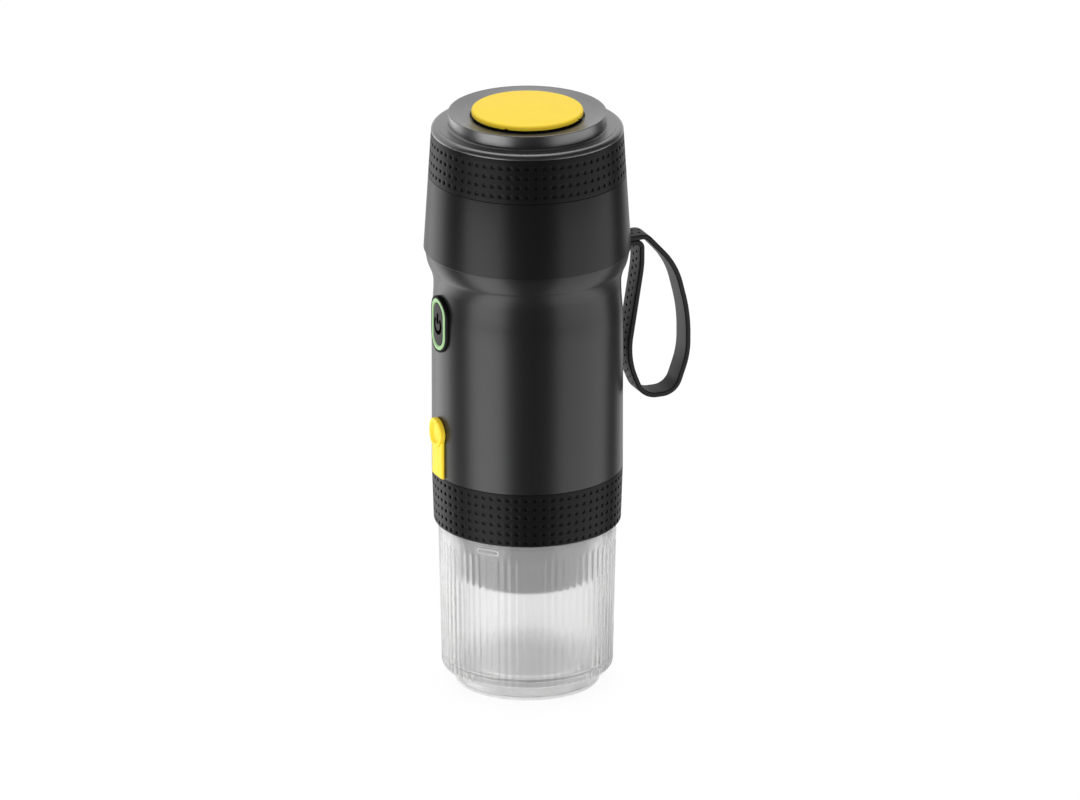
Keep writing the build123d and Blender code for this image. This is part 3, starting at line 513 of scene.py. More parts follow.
def sprayed_metallic_grey(material):
    """Dark grey metallic paint sprayed over the barrel: fine aluminium flake under a satin coat.
    The flake is drawn at 0.3 mm, far coarser than it is, so that it shows."""
    grey = colours().barrel_grey
    vector = add_node(material, "ShaderNodeTexCoord").outputs["Object"]
    flake = add_node(material, "ShaderNodeTexVoronoi", inputs={
        "Vector": vector, "Scale": 1 / (0.3 * MM)})
    level = add_node(material, "ShaderNodeRGBToBW", inputs={"Color": flake.outputs["Color"]})
    return surface(
        material, {"flake": level.outputs["Val"], "peel": (1.5 * MM, 2.0)},
        {"Metallic": 0.35, "Roughness": 0.35, "Coat Weight": 0.25, "Coat Roughness": 0.3},
        ("flake", shade(grey, 0.85), shade(grey, 1.2)), relief=("peel", 0.08, 0.04 * MM),
        vector=vector)


def moulded_silicone_yellow(material):
    """Yellow silicone: soft, matt, and light goes a little way into it."""
    yellow = colours().yellow
    return surface(
        material, {"cloud": (6 * MM, 2.0), "grain": (0.4 * MM, 2.0)},
        {"Roughness": 0.48, "IOR": 1.43, "Subsurface Weight": 0.25,
         "Subsurface Radius": (1.0, 0.7, 0.15), "Subsurface Scale": 1.5 * MM},
        ("cloud", shade(yellow, 0.97), shade(yellow, 1.03)), relief=("grain", 0.2, 0.02 * MM))


def moulded_copolyester_clear(material):
    """Clear copolyester of the cup, a little milky: light passes but is softened by the skin."""
    return surface(
        material, {"cloud": (10 * MM, 3.0)},
        {"Base Color": shade(colours().cup_clear), "IOR": 1.5, "Transmission Weight": 0.88},
        gloss=("cloud", 0.2, 0.255))


def moulded_silicone_clear(material):
    """Milky silicone of the foot pad under the cup and of the mark: it scatters what it lets in."""
    return surface(
        material, {"cloud": (5 * MM, 2.0)},
        {"Base Color": (0.86, 0.86, 0.86, 1), "IOR": 1.42, "Transmission Weight": 0.3},
        gloss=("cloud", 0.4, 0.5))


def diffusing_light_guide(material):
    """Green lit acrylic guide: it glows evenly, with the lamps behind it a little brighter."""
    green = colours().light_green
    return surface(
        material, {"cloud": (6 * MM, 1.0)},
        {"Base Color": shade(green, 0.5), "Roughness": 0.4, "IOR": 1.49, "Emission Strength": 0.9},
        ("cloud", shade(green, 0.92), shade(green, 1.08)), coloured="Emission Color")


def moulded_rubber_grey(material):
    """Grey silicone of the power key: dull, with a fine even grain."""
    grey = colours().key_grey
    return surface(
        material, {"grain": (0.3 * MM, 2.0)},
        {"Roughness": 0.5, "IOR": 1.43, "Specular IOR Level": 0.22},
        ("grain", shade(grey, 0.92), shade(grey, 1.08)), relief=("grain", 0.2, 0.02 * MM))


def printed_ink_black(material):
    """Black pad-printed ink of the sign: a thin even film with a few pinholes."""
    return surface(
        material, {"film": (0.2 * MM, 2.0)},
        {"Base Color": shade(colours().ink_black), "Specular IOR Level": 0.0},
        gloss=("film", 0.4, 0.6))


def moulded_polypropylene_grey(material):
    """Grey polypropylene of the capsule holder: a waxy satin with faint flow marks."""
    grey = colours().holder_grey
    return surface(
        material, {"flow": (9 * MM, 3.0, 0.6)}, {"IOR": 1.49},
        ("flow", shade(grey, 0.93), shade(grey, 1.07)), ("flow", 0.38, 0.48))


def brushed_metal(material, colour, line, low, high):
    """Brushed or turned metal, with brush lines round the axis that are `line` metres apart."""
    place = add_node(material, "ShaderNodeTexCoord")
    squash = add_node(material, "ShaderNodeMapping", inputs={
        "Vector": place.outputs["Object"], "Scale": (0.04, 0.04, 1)})
    return surface(
        material, {"brush": (line, 3.0)}, {"Metallic": 1.0},
        ("brush", shade(linear(colour), 0.9), shade(linear(colour), 1.1)), ("brush", low, high),
        ("brush", 0.15, 0.02 * MM), squash.outputs["Vector"])


def drawn_stainless_steel(material):
    """Deep-drawn stainless steel of the water tank, brushed round: long soft streaks."""
    return brushed_metal(material, "#c9c8c4", 0.4 * MM, 0.2, 0.34)


def ground_steel(material):
    """Ground steel of the shaft, plunger, pin, spring and port: fine and even."""
    return brushed_metal(material, "#b9b9b8", 0.15 * MM, 0.22, 0.32)


def plated_steel(material):
    """Zinc-plated steel of the screws and the motor can: a dull pale plate."""
    return brushed_metal(material, "#a8a9a7", 0.6 * MM, 0.32, 0.45)


def turned_brass(material):
    """Turned brass of the cam and the probe: warm, with fine tool marks."""
    return brushed_metal(material, "#c9a45c", 0.25 * MM, 0.2, 0.32)


def moulded(material, low_colour, high_colour, patch, rough):
    """Plain moulded or coated surface whose colour drifts between two values."""
    return surface(
        material, {"cloud": (patch, 3.0)}, {},
        ("cloud", shade(linear(low_colour)), shade(linear(high_colour))),
        ("cloud", rough - 0.05, rough + 0.05), ("cloud", 0.15, 0.05 * MM))


def glass_filled_nylon(material):
    """Glass-filled nylon of the inner frame: dark and dry, with pale fibre clouds."""
    return moulded(material, "#3a3a3c", "#48484a", 1.2 * MM, 0.6)


def food_silicone_white(material):
    """Milky food-grade silicone of the seals and hoses: soft and slightly waxy."""
    return moulded(material, "#d4d3cf", "#e2e1dd", 3 * MM, 0.45)


def shrink_sleeve_blue(material):
    """Blue shrink sleeve of the cells: thin glossy film with small wrinkles."""
    return moulded(material, "#1f5c96", "#2a6cab", 4 * MM, 0.25)


def solder_mask_green(material):
    """Green solder mask of the board: glossy lacquer over faint copper runs."""
    return moulded(material, "#0f4a26", "#1b6135", 1.8 * MM, 0.3)


class CoffeeMakerOperator:
    """What the operators share."""

    bl_options = {"REGISTER", "UNDO"}

    @property
    def sizes(self):
        return bpy.context.scene.coffee_maker_sizes


class MESH_OT_coffee_maker_cup(CoffeeMakerOperator, bpy.types.Operator):
    """Clear fluted cup, the moulded mark on it, and its foot pad"""

    bl_idname = "mesh.coffee_maker_cup"
    bl_label = "Cup"

    def execute(self, context):
        sizes = self.sizes
        foot_low, foot_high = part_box("cup_foot")
        self.foot(foot_low.z, foot_high)
        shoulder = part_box("cup")[1].z - CUP_NECK_HEIGHT
        low_radius, top_radius = sizes.cup_low_radius, sizes.cup_top_radius

        def wall(height):
            rise = (height - sizes.cup_base) / (shoulder - sizes.cup_base)
            return low_radius + rise * (top_radius - low_radius)

        under = sizes.cup_floor - CUP_FLOOR_THICKNESS
        ring_radius = foot_high.x - CUP_RING_WIDTH
        smooth = shoulder - sizes.flute_top
        fade = 1.5 * MM
        corners = [
            (0, under, 0),
            (ring_radius, under, 0.5 * MM),
            (ring_radius, foot_high.z, 0.3 * MM),
            (foot_high.x, foot_high.z, 0.4 * MM),
            (low_radius - sizes.cup_corner, sizes.cup_base, 0.6 * MM),
            (low_radius, sizes.cup_base, sizes.cup_corner - 0.6 * MM),
            (wall(smooth - fade), smooth - fade, 0),
            (wall(smooth - fade / 2), smooth - fade / 2, 0),
            (wall(smooth), smooth, 0),
            (top_radius, shoulder, 0.3 * MM),
            (CUP_NECK_RADIUS, shoulder, 0),
            (CUP_NECK_RADIUS, shoulder + CUP_NECK_HEIGHT, 0.4 * MM),
            (CUP_MOUTH_RADIUS, shoulder + CUP_NECK_HEIGHT, 0.4 * MM),
            (sizes.cup_inner_radius, sizes.cup_floor, 1.4 * MM),
            (0, sizes.cup_floor, 0),
        ]
        bm = lathe(corners, 8 * sizes.flutes)
        bare = max(foot_high.x, sizes.cup_inner_radius - 2 * MM) + 1 * MM
        for vert in bm.verts:
            radius = hypot(vert.co.x, vert.co.y)
            inside = vert.co.z > sizes.cup_floor and radius < CUP_MOUTH_RADIUS + 0.3 * MM
            if radius < bare or vert.co.z > smooth or inside:
                continue
            full = min((smooth - vert.co.z) / fade, (vert.co.z - sizes.cup_base) / fade, 1)
            turn = atan2(vert.co.y, vert.co.x) * sizes.flutes / 2
            drop = sizes.flute_depth * (1 - abs(sin(turn))) * max(0, full)
            vert.co.xy *= (radius - drop) / radius
        add_piece("fluted_cup", bm, moulded_copolyester_clear, "cup_body", ["cup"])
        self.mark(wall(smooth), shoulder)
        return {"FINISHED"}

    def foot(self, low, high):
        corners = [(0, low, 0), (high.x, low, 0.3 * MM), (high.x, high.z, 0.2 * MM), (0, high.z, 0)]
        add_piece(
            "cup_foot_pad", lathe(corners), moulded_silicone_clear, "cup_body",
            ["cup_foot"])

    def mark(self, radius, shoulder):
        """Plain raised oval outline on the smooth band under the shoulder."""
        width, height, line = 8.7 * MM, 2.0 * MM, 0.28 * MM
        half, proud, soft = height / 2, 0.12 * MM, 0.06 * MM
        middle, pull = shoulder - 3.3 * MM, width - height
        left_of_camera = radians(26.5)
        corners = [(half - line, -proud, 0), (half, -proud, 0), (half, proud, soft),
                   (half - line, proud, soft)]
        bm = front_stadium(corners, (0, pull), (half, pull), radius, middle, lying=True)
        turn_about_z(bm, bpy.context.scene.coffee_maker_studio.azimuth - left_of_camera)
        add_piece("cup_mark", bm, moulded_silicone_clear, "cup_body")


class MESH_OT_coffee_maker_grips(CoffeeMakerOperator, bpy.types.Operator):
    """Soft dimpled sleeves on the lid and on the foot of the barrel"""

    bl_idname = "mesh.coffee_maker_grips"
    bl_label = "Grip sleeves"

    def execute(self, context):
        sizes = self.sizes
        low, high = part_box("lower_grip")
        lower = dimpled_sleeve(
            (high.x - sizes.lower_taper, low.z), (high.x, high.z), (0.6 * MM, 0.15 * MM),
            sizes.lower_columns, sizes.lower_rows, sizes.lower_pitch, sizes.lower_first, sizes)
        add_piece(
            "lower_sleeve", lower, overmoulded_tpe_black, "machine",
            ["lower_grip"])
        low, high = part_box("upper_grip")
        radius = sizes.head_top_radius
        upper = dimpled_sleeve(
            (radius, low.z), (radius - sizes.upper_taper, high.z), (0.1 * MM, 0.15 * MM),
            sizes.upper_columns, sizes.upper_rows, sizes.upper_pitch, sizes.upper_first, sizes)
        add_piece(
            "upper_sleeve", upper, overmoulded_tpe_black, "lid", ["upper_grip"])
        return {"FINISHED"}


class MESH_OT_coffee_maker_barrel(CoffeeMakerOperator, bpy.types.Operator):
    """Sprayed barrel with its waist, its flare and the openings in its wall"""

    bl_idname = "mesh.coffee_maker_barrel"
    bl_label = "Barrel"

    def skin(self, inset, ledge, top):
        sizes = self.sizes
        barrel, waist, flare = sizes.barrel_radius, sizes.waist_radius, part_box("barrel_shell")[1].x
        flare_level = top - FLARE_LIP
        waist_top = flare_level - sizes.flare_run
        waist_low = waist_top - WAIST_HEIGHT
        start = waist_low - sizes.waist_run
        return [
            (barrel - inset, ledge, 0),
            *ogee((barrel - inset, start), (waist - inset, waist_low)),
            *ogee((waist - inset, waist_top), (flare - inset, flare_level)),
            (flare - inset, top, 0),
        ]

    def execute(self, context):
        sizes = self.sizes
        low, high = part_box("barrel_shell")
        grip_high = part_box("lower_grip")[1]
        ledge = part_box("chassis")[0].z
        skirt = grip_high.x - SLEEVE_THICKNESS
        outer = self.skin(0, grip_high.z, high.z)
        inner = self.skin(BARREL_WALL, ledge, high.z)
        outer[0] = (*outer[0][:2], 0.25 * MM)
        corners = outer + inner[::-1] + [
            (BORE_RADIUS, ledge, 0),
            (BORE_RADIUS, low.z, 0.3 * MM),
            (skirt - sizes.lower_taper, low.z, 0),
            (skirt, grip_high.z, 0),
        ]
        width, length = sizes.bezel_hole_width, sizes.bezel_hole_length
        port_low, port_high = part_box("usb_socket")
        port_wide, port_tall = port_high.x - port_low.x, port_high.z - port_low.z
        made = cut(lathe(corners), [
            self.hole("button_bezel", width / 2 + 0.7 * MM, length - width),
            self.hole("usb_socket", port_tall / 2 + 0.8 * MM, port_wide - port_tall, lying=True),
            self.strap_slot(high),
        ])
        add_mesh(
            "painted_barrel", made, sprayed_metallic_grey, "machine",
            ["barrel_shell"])
        return {"FINISHED"}

    def hole(self, node, radius, pull, lying=False):
        """Prism through the wall at the height of a node's middle."""
        low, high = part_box(node)
        height, depth = (low.z + high.z) / 2, 5 * MM
        corners = [(0, -depth, 0), (radius, -depth, 0), (radius, depth, 0), (0, depth, 0)]
        barrel = self.sizes.barrel_radius
        return front_stadium(corners, (0, pull), (radius, pull), barrel, height, lying)

    def strap_slot(self, high):
        """Block through the wall under the head, a little wider and deeper than the strap."""
        low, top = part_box("strap")
        play = 0.3 * MM
        legs = 2 * self.sizes.strap_thickness + 2 * play
        return block((top.x - low.x + 2 * play, 12 * MM, 2 * legs), (0, high.x - 2 * MM, high.z))


class MESH_OT_coffee_maker_head(CoffeeMakerOperator, bpy.types.Operator):
    """Black head ring with its collar for the lid"""

    bl_idname = "mesh.coffee_maker_head"
    bl_label = "Head"

    def execute(self, context):
        sizes = self.sizes
        low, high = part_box("head_shell")
        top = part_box("lid_shell")[0].z - 0.15 * MM
        low_radius, top_radius = sizes.head_low_radius, sizes.head_top_radius
        collar, inside = COLLAR_RADIUS, COLLAR_RADIUS - COLLAR_WALL
        web = top - HEAD_WEB
        corners = [
            (low_radius, low.z, 0.4 * MM),
            (top_radius, top, 0.1 * MM),
            (collar, top, 0.2 * MM),
            (collar, high.z, 0.3 * MM),
            (inside, high.z, 0.3 * MM),
            (inside, web, 0),
            (top_radius - HEAD_WALL, web, 0),
            (low_radius - HEAD_WALL, low.z, 0.3 * MM),
        ]
        add_piece(
            "head_ring", lathe(corners), moulded_abs_black, "machine",
            ["head_shell"])
        return {"FINISHED"}


class MESH_OT_coffee_maker_lid(CoffeeMakerOperator, bpy.types.Operator):
    """Lid with its shoulder, raised rim and dish"""

    bl_idname = "mesh.coffee_maker_lid"
    bl_label = "Lid"

    def execute(self, context):
        sizes = self.sizes
        low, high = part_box("lid_shell")
        grip_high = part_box("upper_grip")[1]
        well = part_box("vent_plunger")[1].z - 2.5 * MM
        pad_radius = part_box("vent_pad")[1].x
        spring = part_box("vent_spring")[1].x + 1.6 * MM
        rim, rim_z = sizes.lid_rim_radius, high.z
        shoulder = rim_z - sizes.lid_rim_height
        skirt = sizes.head_top_radius - LID_BED
        pad_edge, dish = pad_radius + 0.5 * MM, rim_z - sizes.dish_depth
        bore, inside_rim = COLLAR_RADIUS + 0.3 * MM, rim - 2.0 * MM
        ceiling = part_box("lid_liner")[1].z
        under = well - 1.8 * MM
        corners = [
            (spring, well, 0),
            (pad_edge, well, 0),
            (pad_edge, dish, 0.15 * MM),
            (pad_edge + sizes.dish_flat, dish + 0.25 * MM, 1.6 * MM),
            (rim, rim_z, 0.35 * MM),
            (rim, shoulder, 1.0 * MM),
            (sizes.lid_shoulder_radius, shoulder, 1.8 * MM),
            (sizes.lid_shoulder_radius + 0.05 * MM, grip_high.z, 0.15 * MM),
            (skirt - sizes.upper_taper, grip_high.z, 0),
            (skirt, low.z, 0.3 * MM),
            (bore, low.z, 0.3 * MM),
            (bore, ceiling, 0),
            (inside_rim, ceiling, 0),
            (inside_rim, under, 0),
            (spring, under, 0),
        ]
        add_piece("lid_cap", lathe(corners), polished_abs_black, "lid", ["lid_shell"])
        return {"FINISHED"}


class MESH_OT_coffee_maker_vent(CoffeeMakerOperator, bpy.types.Operator):
    """Yellow pad of the vent button with the notches in its lower edge"""

    bl_idname = "mesh.coffee_maker_vent"
    bl_label = "Vent button"

    def execute(self, context):
        low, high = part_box("vent_pad")
        corners = [
            (0, low.z, 0),
            (high.x, low.z, 0.15 * MM),
            (high.x, high.z, 1.0 * MM),
            (0, high.z, 0),
        ]
        notches = []
        for quarter in range(4):
            bm = block((1.6 * MM, 1.5 * MM, (high.z - low.z) / 2), (high.x, 0, low.z))
            turn_about_z(bm, radians(45 + 90 * quarter))
            notches.append(bm)
        made = cut(lathe(corners), notches)
        add_mesh(
            "vent_button_pad", made, moulded_silicone_yellow, "vent_button",
            ["vent_pad"])
        return {"FINISHED"}


class MESH_OT_coffee_maker_key(CoffeeMakerOperator, bpy.types.Operator):
    """Power key with its sign, its light ring and its bezel"""

    bl_idname = "mesh.coffee_maker_key"
    bl_label = "Power key"

    def execute(self, context):
        sizes = self.sizes
        low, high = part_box("button_bezel")
        middle = (low.z + high.z) / 2
        outer = (high.x - low.x) / 2
        outer_pull = high.z - low.z - 2 * outer
        hole = sizes.bezel_hole_width / 2
        pull = sizes.bezel_hole_length - sizes.bezel_hole_width
        proud, radius = sizes.bezel_proud, sizes.barrel_radius
        deep, plug, seat = -2.5 * MM, hole + 0.6 * MM, -0.8 * MM
        corners = [(hole, deep, 0), (plug, deep, 0), (plug, seat, 0),
                   (outer, seat, 0), (outer, proud, 0.45 * MM), (hole, proud, 0.3 * MM)]
        bm = front_stadium(corners, (hole, pull), (outer, outer_pull), radius, middle)
        add_piece("key_bezel", bm, etched_abs_black, "machine", ["button_bezel"])

        inner, face = hole - sizes.ring_stroke, sizes.ring_proud
        back = face - RING_DEPTH
        corners = [
            (inner, back, 0), (hole, back, 0), (hole, face, 0.35 * MM), (inner, face, 0.35 * MM)]
        bm = front_stadium(corners, (0, pull), (hole, pull), radius, middle)
        add_piece(
            "key_light_ring", bm, diffusing_light_guide, "machine", ["light_ring"])

        edge, face = inner - KEY_GAP, sizes.key_proud
        flange = back - KEY_GAP
        flange_edge, flange_back = edge + 0.8 * MM, flange - 1.4 * MM
        dish = face - 0.12 * MM
        corners = [
            (0, flange_back, 0), (flange_edge, flange_back, 0), (flange_edge, flange, 0),
            (edge, flange, 0), (edge, face, 0.5 * MM),
            (edge - 1.2 * MM, face - 0.1 * MM, 0.6 * MM), (0, dish, 0),
        ]
        bm = front_stadium(corners, (0, pull), (edge, pull), radius, middle)
        add_piece("key_cap", bm, moulded_rubber_grey, "power_button", ["power_key"])
        self.sign(radius + dish, middle - 0.4 * MM)
        return {"FINISHED"}

    def sign(self, radius, middle):
        """Plain power sign: an open ring and an upright bar."""
        sizes = self.sizes
        outer, stroke, film = sizes.symbol_radius, sizes.symbol_stroke, 0.08 * MM
        gap = radians(38)
        bm = bmesh.new()
        ends = [
            bm.verts.new((sin(gap) * arm, cos(gap) * arm, 0)) for arm in (outer - stroke, outer)]
        edge = bm.edges.new(ends)
        sweep(bm, ends + [edge], (0, 0, -1), 2 * pi - 2 * gap, steps=48)
        bar_low, cuts = 0.6 * MM, 10
        bar = bmesh.ops.create_grid(bm, x_segments=2, y_segments=cuts, size=0.5)["verts"]
        bmesh.ops.scale(bm, verts=bar, vec=(stroke, sizes.symbol_bar, 1))
        bmesh.ops.translate(bm, verts=bar, vec=(0, bar_low + sizes.symbol_bar / 2, 0))
        for face in bm.faces:
            if face.normal.z < 0:
                face.normal_flip()
        bm.normal_update()
        bmesh.ops.solidify(bm, geom=bm.faces[:], thickness=-film)
        to_front(bm, radius, middle)
        bmesh.ops.recalc_face_normals(bm, faces=bm.faces[:])
        add_piece("key_sign", bm, printed_ink_black, "power_button")


class MESH_OT_coffee_maker_port_cover(CoffeeMakerOperator, bpy.types.Operator):
    """Yellow port cover: cap, tail and plug in one fixed piece; the real cover folds at the tail's
    root
    """

    bl_idname = "mesh.coffee_maker_port_cover"
    bl_label = "Port cover"

    def execute(self, context):
        sizes = self.sizes
        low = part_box("port_cover_root")[0].z
        port_low, port_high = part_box("usb_socket")
        middle = (port_low.z + port_high.z) / 2
        made = cut(self.cap(), [self.tail(low - middle), self.plug()], "UNION")
        bm = bmesh.new()
        bm.from_mesh(made)
        to_front(bm, sizes.barrel_radius, middle)
        bmesh.ops.recalc_face_normals(bm, faces=bm.faces[:])
        cover = add_piece(
            "port_cover_flap", bm, moulded_silicone_yellow, None,
            ["port_cover", "port_cover_root"])
        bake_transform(cover)
        return {"FINISHED"}

    def cap(self):
        """Round cap with the dish for a finger."""
        sizes = self.sizes
        outer, dish, proud = sizes.cover_radius, sizes.cover_dish, sizes.cover_proud
        return lathe([
            (0, COVER_LIFT, 0), (outer, COVER_LIFT, 0.2 * MM), (outer, proud, 0.5 * MM),
            (dish, proud, 0.2 * MM), (dish - 0.7 * MM, proud - 1.1 * MM, 0.3 * MM),
            (0, proud - 0.9 * MM, 0),
        ], SMALL_STEPS)

    def tail(self, low):
        """Band from the cap down to the sleeve, with rounded edges and close rows at the fold."""
        sizes = self.sizes
        thick = sizes.tail_proud - COVER_LIFT
        bm = block((sizes.tail_width, -low, thick), (0, low / 2, COVER_LIFT + thick / 2))
        rounded = [edge for edge in bm.edges if min(vert.co.z for vert in edge.verts) > thick / 2]
        bevel(bm, rounded, 0.4 * MM, 4, "EDGES")
        rows, columns = 48, 12
        for row in range(1, rows):
            self.slice(bm, (0, low * row / rows, 0), (0, 1, 0))
        for column in range(1, columns):
            place = sizes.tail_width * (column / columns - 0.5)
            self.slice(bm, (place, 0, 0), (1, 0, 0))
        return bm

    def slice(self, bm, place, normal):
        bmesh.ops.bisect_plane(
            bm, geom=bm.verts[:] + bm.edges[:] + bm.faces[:], dist=WELD, plane_co=place,
            plane_no=normal, use_snap_center=False, clear_outer=False, clear_inner=False)

    def plug(self):
        """Flat plug on the back that closes the port."""
        radius, length, depth = 1.0 * MM, 7.6 * MM, 1.7 * MM
        corners = [
            (0, -depth, 0), (radius, -depth, 0.3 * MM), (radius, 0.5 * MM, 0), (0, 0.5 * MM, 0)]
        bm = stadium(corners, 32, (0, length - 2 * radius), (radius, length - 2 * radius))
        turn_about_z(bm, pi / 2)
        return bm


class MESH_OT_coffee_maker_strap(CoffeeMakerOperator, bpy.types.Operator):
    """Silicone strap: one band looped from the slot under the head and back, dimpled outside"""

    bl_idname = "mesh.coffee_maker_strap"
    bl_label = "Strap"

    # Corners of the band's centreline in millimetres: outwards from the flare, down from the head,
    # and the bend's radius. Without a number for down, the corner is level with the slot.
    route = [
        (8.4, None, 4.0), (19.9, 13.9, 30.0), (24.8, 33.2, 60.0),
        (24.8, 48.8, 30.0), (19.7, 63.0, 7.0), (7.05, 63.0, 8.0),
        (0.75, 47.5, 30.0), (6.45, 12.1, 40.0), (6.45, None, 2.2),
    ]

    def execute(self, context):
        low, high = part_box("strap")
        runs = self.runs()
        step = STRAP_TILE / 3
        count = round(sum(length for length, *_ in runs) / step)
        bm = self.flat_band(high.x - low.x, step, count)
        self.dimple(bm, step, count)
        for vert in bm.verts:
            place, outward = self.along(runs, vert.co.y)
            place = place + vert.co.z * outward
            vert.co = (vert.co.x, place.y, place.z)
        bmesh.ops.recalc_face_normals(bm, faces=bm.faces[:])
        add_piece(
            "wrist_strap", bm, moulded_silicone_black, "machine", ["strap"])
        return {"FINISHED"}

    def corners(self):
        """(place, radius) of the corners in the YZ plane, with the two ends in the slot."""
        flare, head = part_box("barrel_shell")[1].x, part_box("head_shell")[0].z
        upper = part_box("strap")[1].z - self.sizes.strap_thickness / 2
        lower = upper - self.sizes.strap_thickness
        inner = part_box("strap")[0].y
        points = [(Vector((0, inner, upper)), 0)]
        for place, (out, down, radius) in enumerate(self.route):
            level = head - down * MM if down is not None else (lower if place else upper)
            points.append((Vector((0, flare + out * MM, level)), radius * MM))
        return points + [(Vector((0, inner, lower)), 0)]

    def runs(self):
        """Straight runs and arcs of the centreline: length, start, direction and turn."""
        corners = self.corners()
        made, start = [], corners[0][0]
        for before, (corner, radius), after in zip(corners, corners[1:], corners[2:]):
            arrive = (corner - before[0]).normalized()
            leave = (after[0] - corner).normalized()
            turn = arrive.angle(leave)
            if arrive.cross(leave).x > 0:
                turn = -turn
            bend = corner - radius * tan(abs(turn) / 2) * arrive
            made.append(((bend - start).length, start, arrive, 0))
            made.append((radius * abs(turn), bend, arrive, turn))
            start = corner + radius * tan(abs(turn) / 2) * leave
        end = corners[-1][0]
        made.append(((end - start).length, start, (end - start).normalized(), 0))
        return made

    def along(self, runs, distance):
        """Place on the centreline and the direction out of the loop there."""
        for length, start, direction, turn in runs[:-1]:
            if distance <= length:
                break
            distance -= length
        else:
            length, start, direction, turn = runs[-1]
        angle = -turn * distance / length
        heading = Matrix.Rotation(angle, 3, "X") @ direction
        out = Vector((0, -heading.z, heading.y))
        if not turn:
            return start + distance * direction, out
        side = Vector((0, -direction.z, direction.y)) * length / turn
        return start + out * length / turn - side, out

    def flat_band(self, width, step, count):
        """The band laid out flat along Y, outer face up, with stops across it for the dimples."""
        sizes = self.sizes
        half, thick, edge = width / 2, sizes.strap_thickness / 2, sizes.strap_edge
        tile = STRAP_TILE
        stops = [
            middle + tile * (third - 1.5) / 3
            for middle in (STRAP_ROW / 2, -STRAP_ROW / 2) for third in (3, 2, 1, 0)
        ]
        outline = [(half, thick)] + [(stop, thick) for stop in stops]
        outline += [(-half, thick), (-half, -thick), (half, -thick)]
        bm = bmesh.new()
        verts = [bm.verts.new((x, 0, z)) for x, z in outline]
        for start, end in zip(verts, verts[1:] + verts[:1]):
            bm.edges.new((start, end))
        bevel(bm, [vert for vert in verts if abs(vert.co.x) > half - WELD], edge, ROUND_STEPS)
        sweep(bm, bm.verts[:] + bm.edges[:], (0, 1, 0), 0, count, (0, step, 0))
        bmesh.ops.holes_fill(bm, edges=[edge for edge in bm.edges if edge.is_boundary], sides=0)
        bmesh.ops.recalc_face_normals(bm, faces=bm.faces[:])
        return bm

    def dimple(self, bm, step, count):
        """Dimples in two staggered rows on the outer face."""
        sizes = self.sizes
        tile, pitch = STRAP_TILE, round(sizes.strap_pitch / step)
        tiles = {}
        for face in bm.faces:
            centre = face.calc_center_median()
            row = 0 if centre.x > 0 else 1
            aside = abs(abs(centre.x) - STRAP_ROW / 2)
            if face.normal.z < 0.9 or centre.z < 0 or aside > tile / 2:
                continue
            place = int(centre.y / step) - row * pitch // 2
            if place >= 0 and place % pitch < 3 and place // pitch < (count - pitch) // pitch:
                tiles.setdefault((row, place // pitch), []).append(face)
        make_dimples(bm, tiles.values(), sizes.strap_dimple, 0.3 * MM)


class MESH_OT_coffee_maker_holder(CoffeeMakerOperator, bpy.types.Operator):
    """Capsule holder that hangs in the cup"""

    bl_idname = "mesh.coffee_maker_holder"
    bl_label = "Capsule holder"

    def execute(self, context):
        low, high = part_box("capsule_holder")
        radius, taper, flare_top = 24.4 * MM, low.z + 11.4 * MM, low.z + 19.4 * MM
        rim, inside_rim = 26.1 * MM, 21.9 * MM
        seat, floor = low.z + 20.5 * MM, low.z + 3.9 * MM
        chamber_top, chamber_floor, outlet = 15.2 * MM, 12.0 * MM, 3.0 * MM  # inside radii
        corners = [
            (outlet, low.z, 0.3 * MM),
            (radius, low.z, 1.0 * MM),
            (radius, taper, 1.0 * MM),
            (high.x, flare_top, 0.3 * MM),
            (rim, flare_top, 0),
            (rim, high.z, 0.4 * MM),
            (inside_rim, high.z, 0.4 * MM),
            (inside_rim, seat, 0.3 * MM),
            (chamber_top, seat, 0.5 * MM),
            (chamber_floor, floor, 0.4 * MM),
            (outlet, floor, 0.2 * MM),
        ]
        add_piece(
            "capsule_cup", lathe(corners), moulded_polypropylene_grey, "holder",
            ["capsule_holder"])
        return {"FINISHED"}


class MESH_OT_coffee_maker_inner(CoffeeMakerOperator, bpy.types.Operator):
    """Finishes of the inner pieces, which keep the frame's own meshes"""

    bl_idname = "mesh.coffee_maker_inner"
    bl_label = "Inner pieces"

    finishes = {
        drawn_stainless_steel: ["water_tank", "heater_plate", "shower_screen", "pierce_plate"],
        ground_steel: [
            "pump_shaft", "pump_plunger", "usb_socket", "vent_clip", "vent_spring", "strap_pin"],
        plated_steel: ["pump_motor", "frame_screws", "motor_screws", "board_screws"],
        turned_brass: ["pump_cam", "temperature_probe"],
        glass_filled_nylon: ["chassis", "pump_block", "lid_liner", "strap_bracket", "power_switch"],
        food_silicone_white: [
            "tank_seat", "brew_seal", "lid_seal", "vent_valve", "inlet_tube", "outlet_tube"],
        shrink_sleeve_blue: ["battery_cells"],
        solder_mask_green: ["control_board"],
        moulded_polypropylene_grey: ["brew_head"],
        moulded_abs_black: ["vent_plunger"],
    }

    def execute(self, context):
        for finish, nodes in self.finishes.items():
            for name in nodes:
                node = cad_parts[name]
                if not node.material_slots:
                    raise RuntimeError(f"{name} has no material slot")
                for slot in node.material_slots:
                    slot.material = material_of(finish)
        return {"FINISHED"}


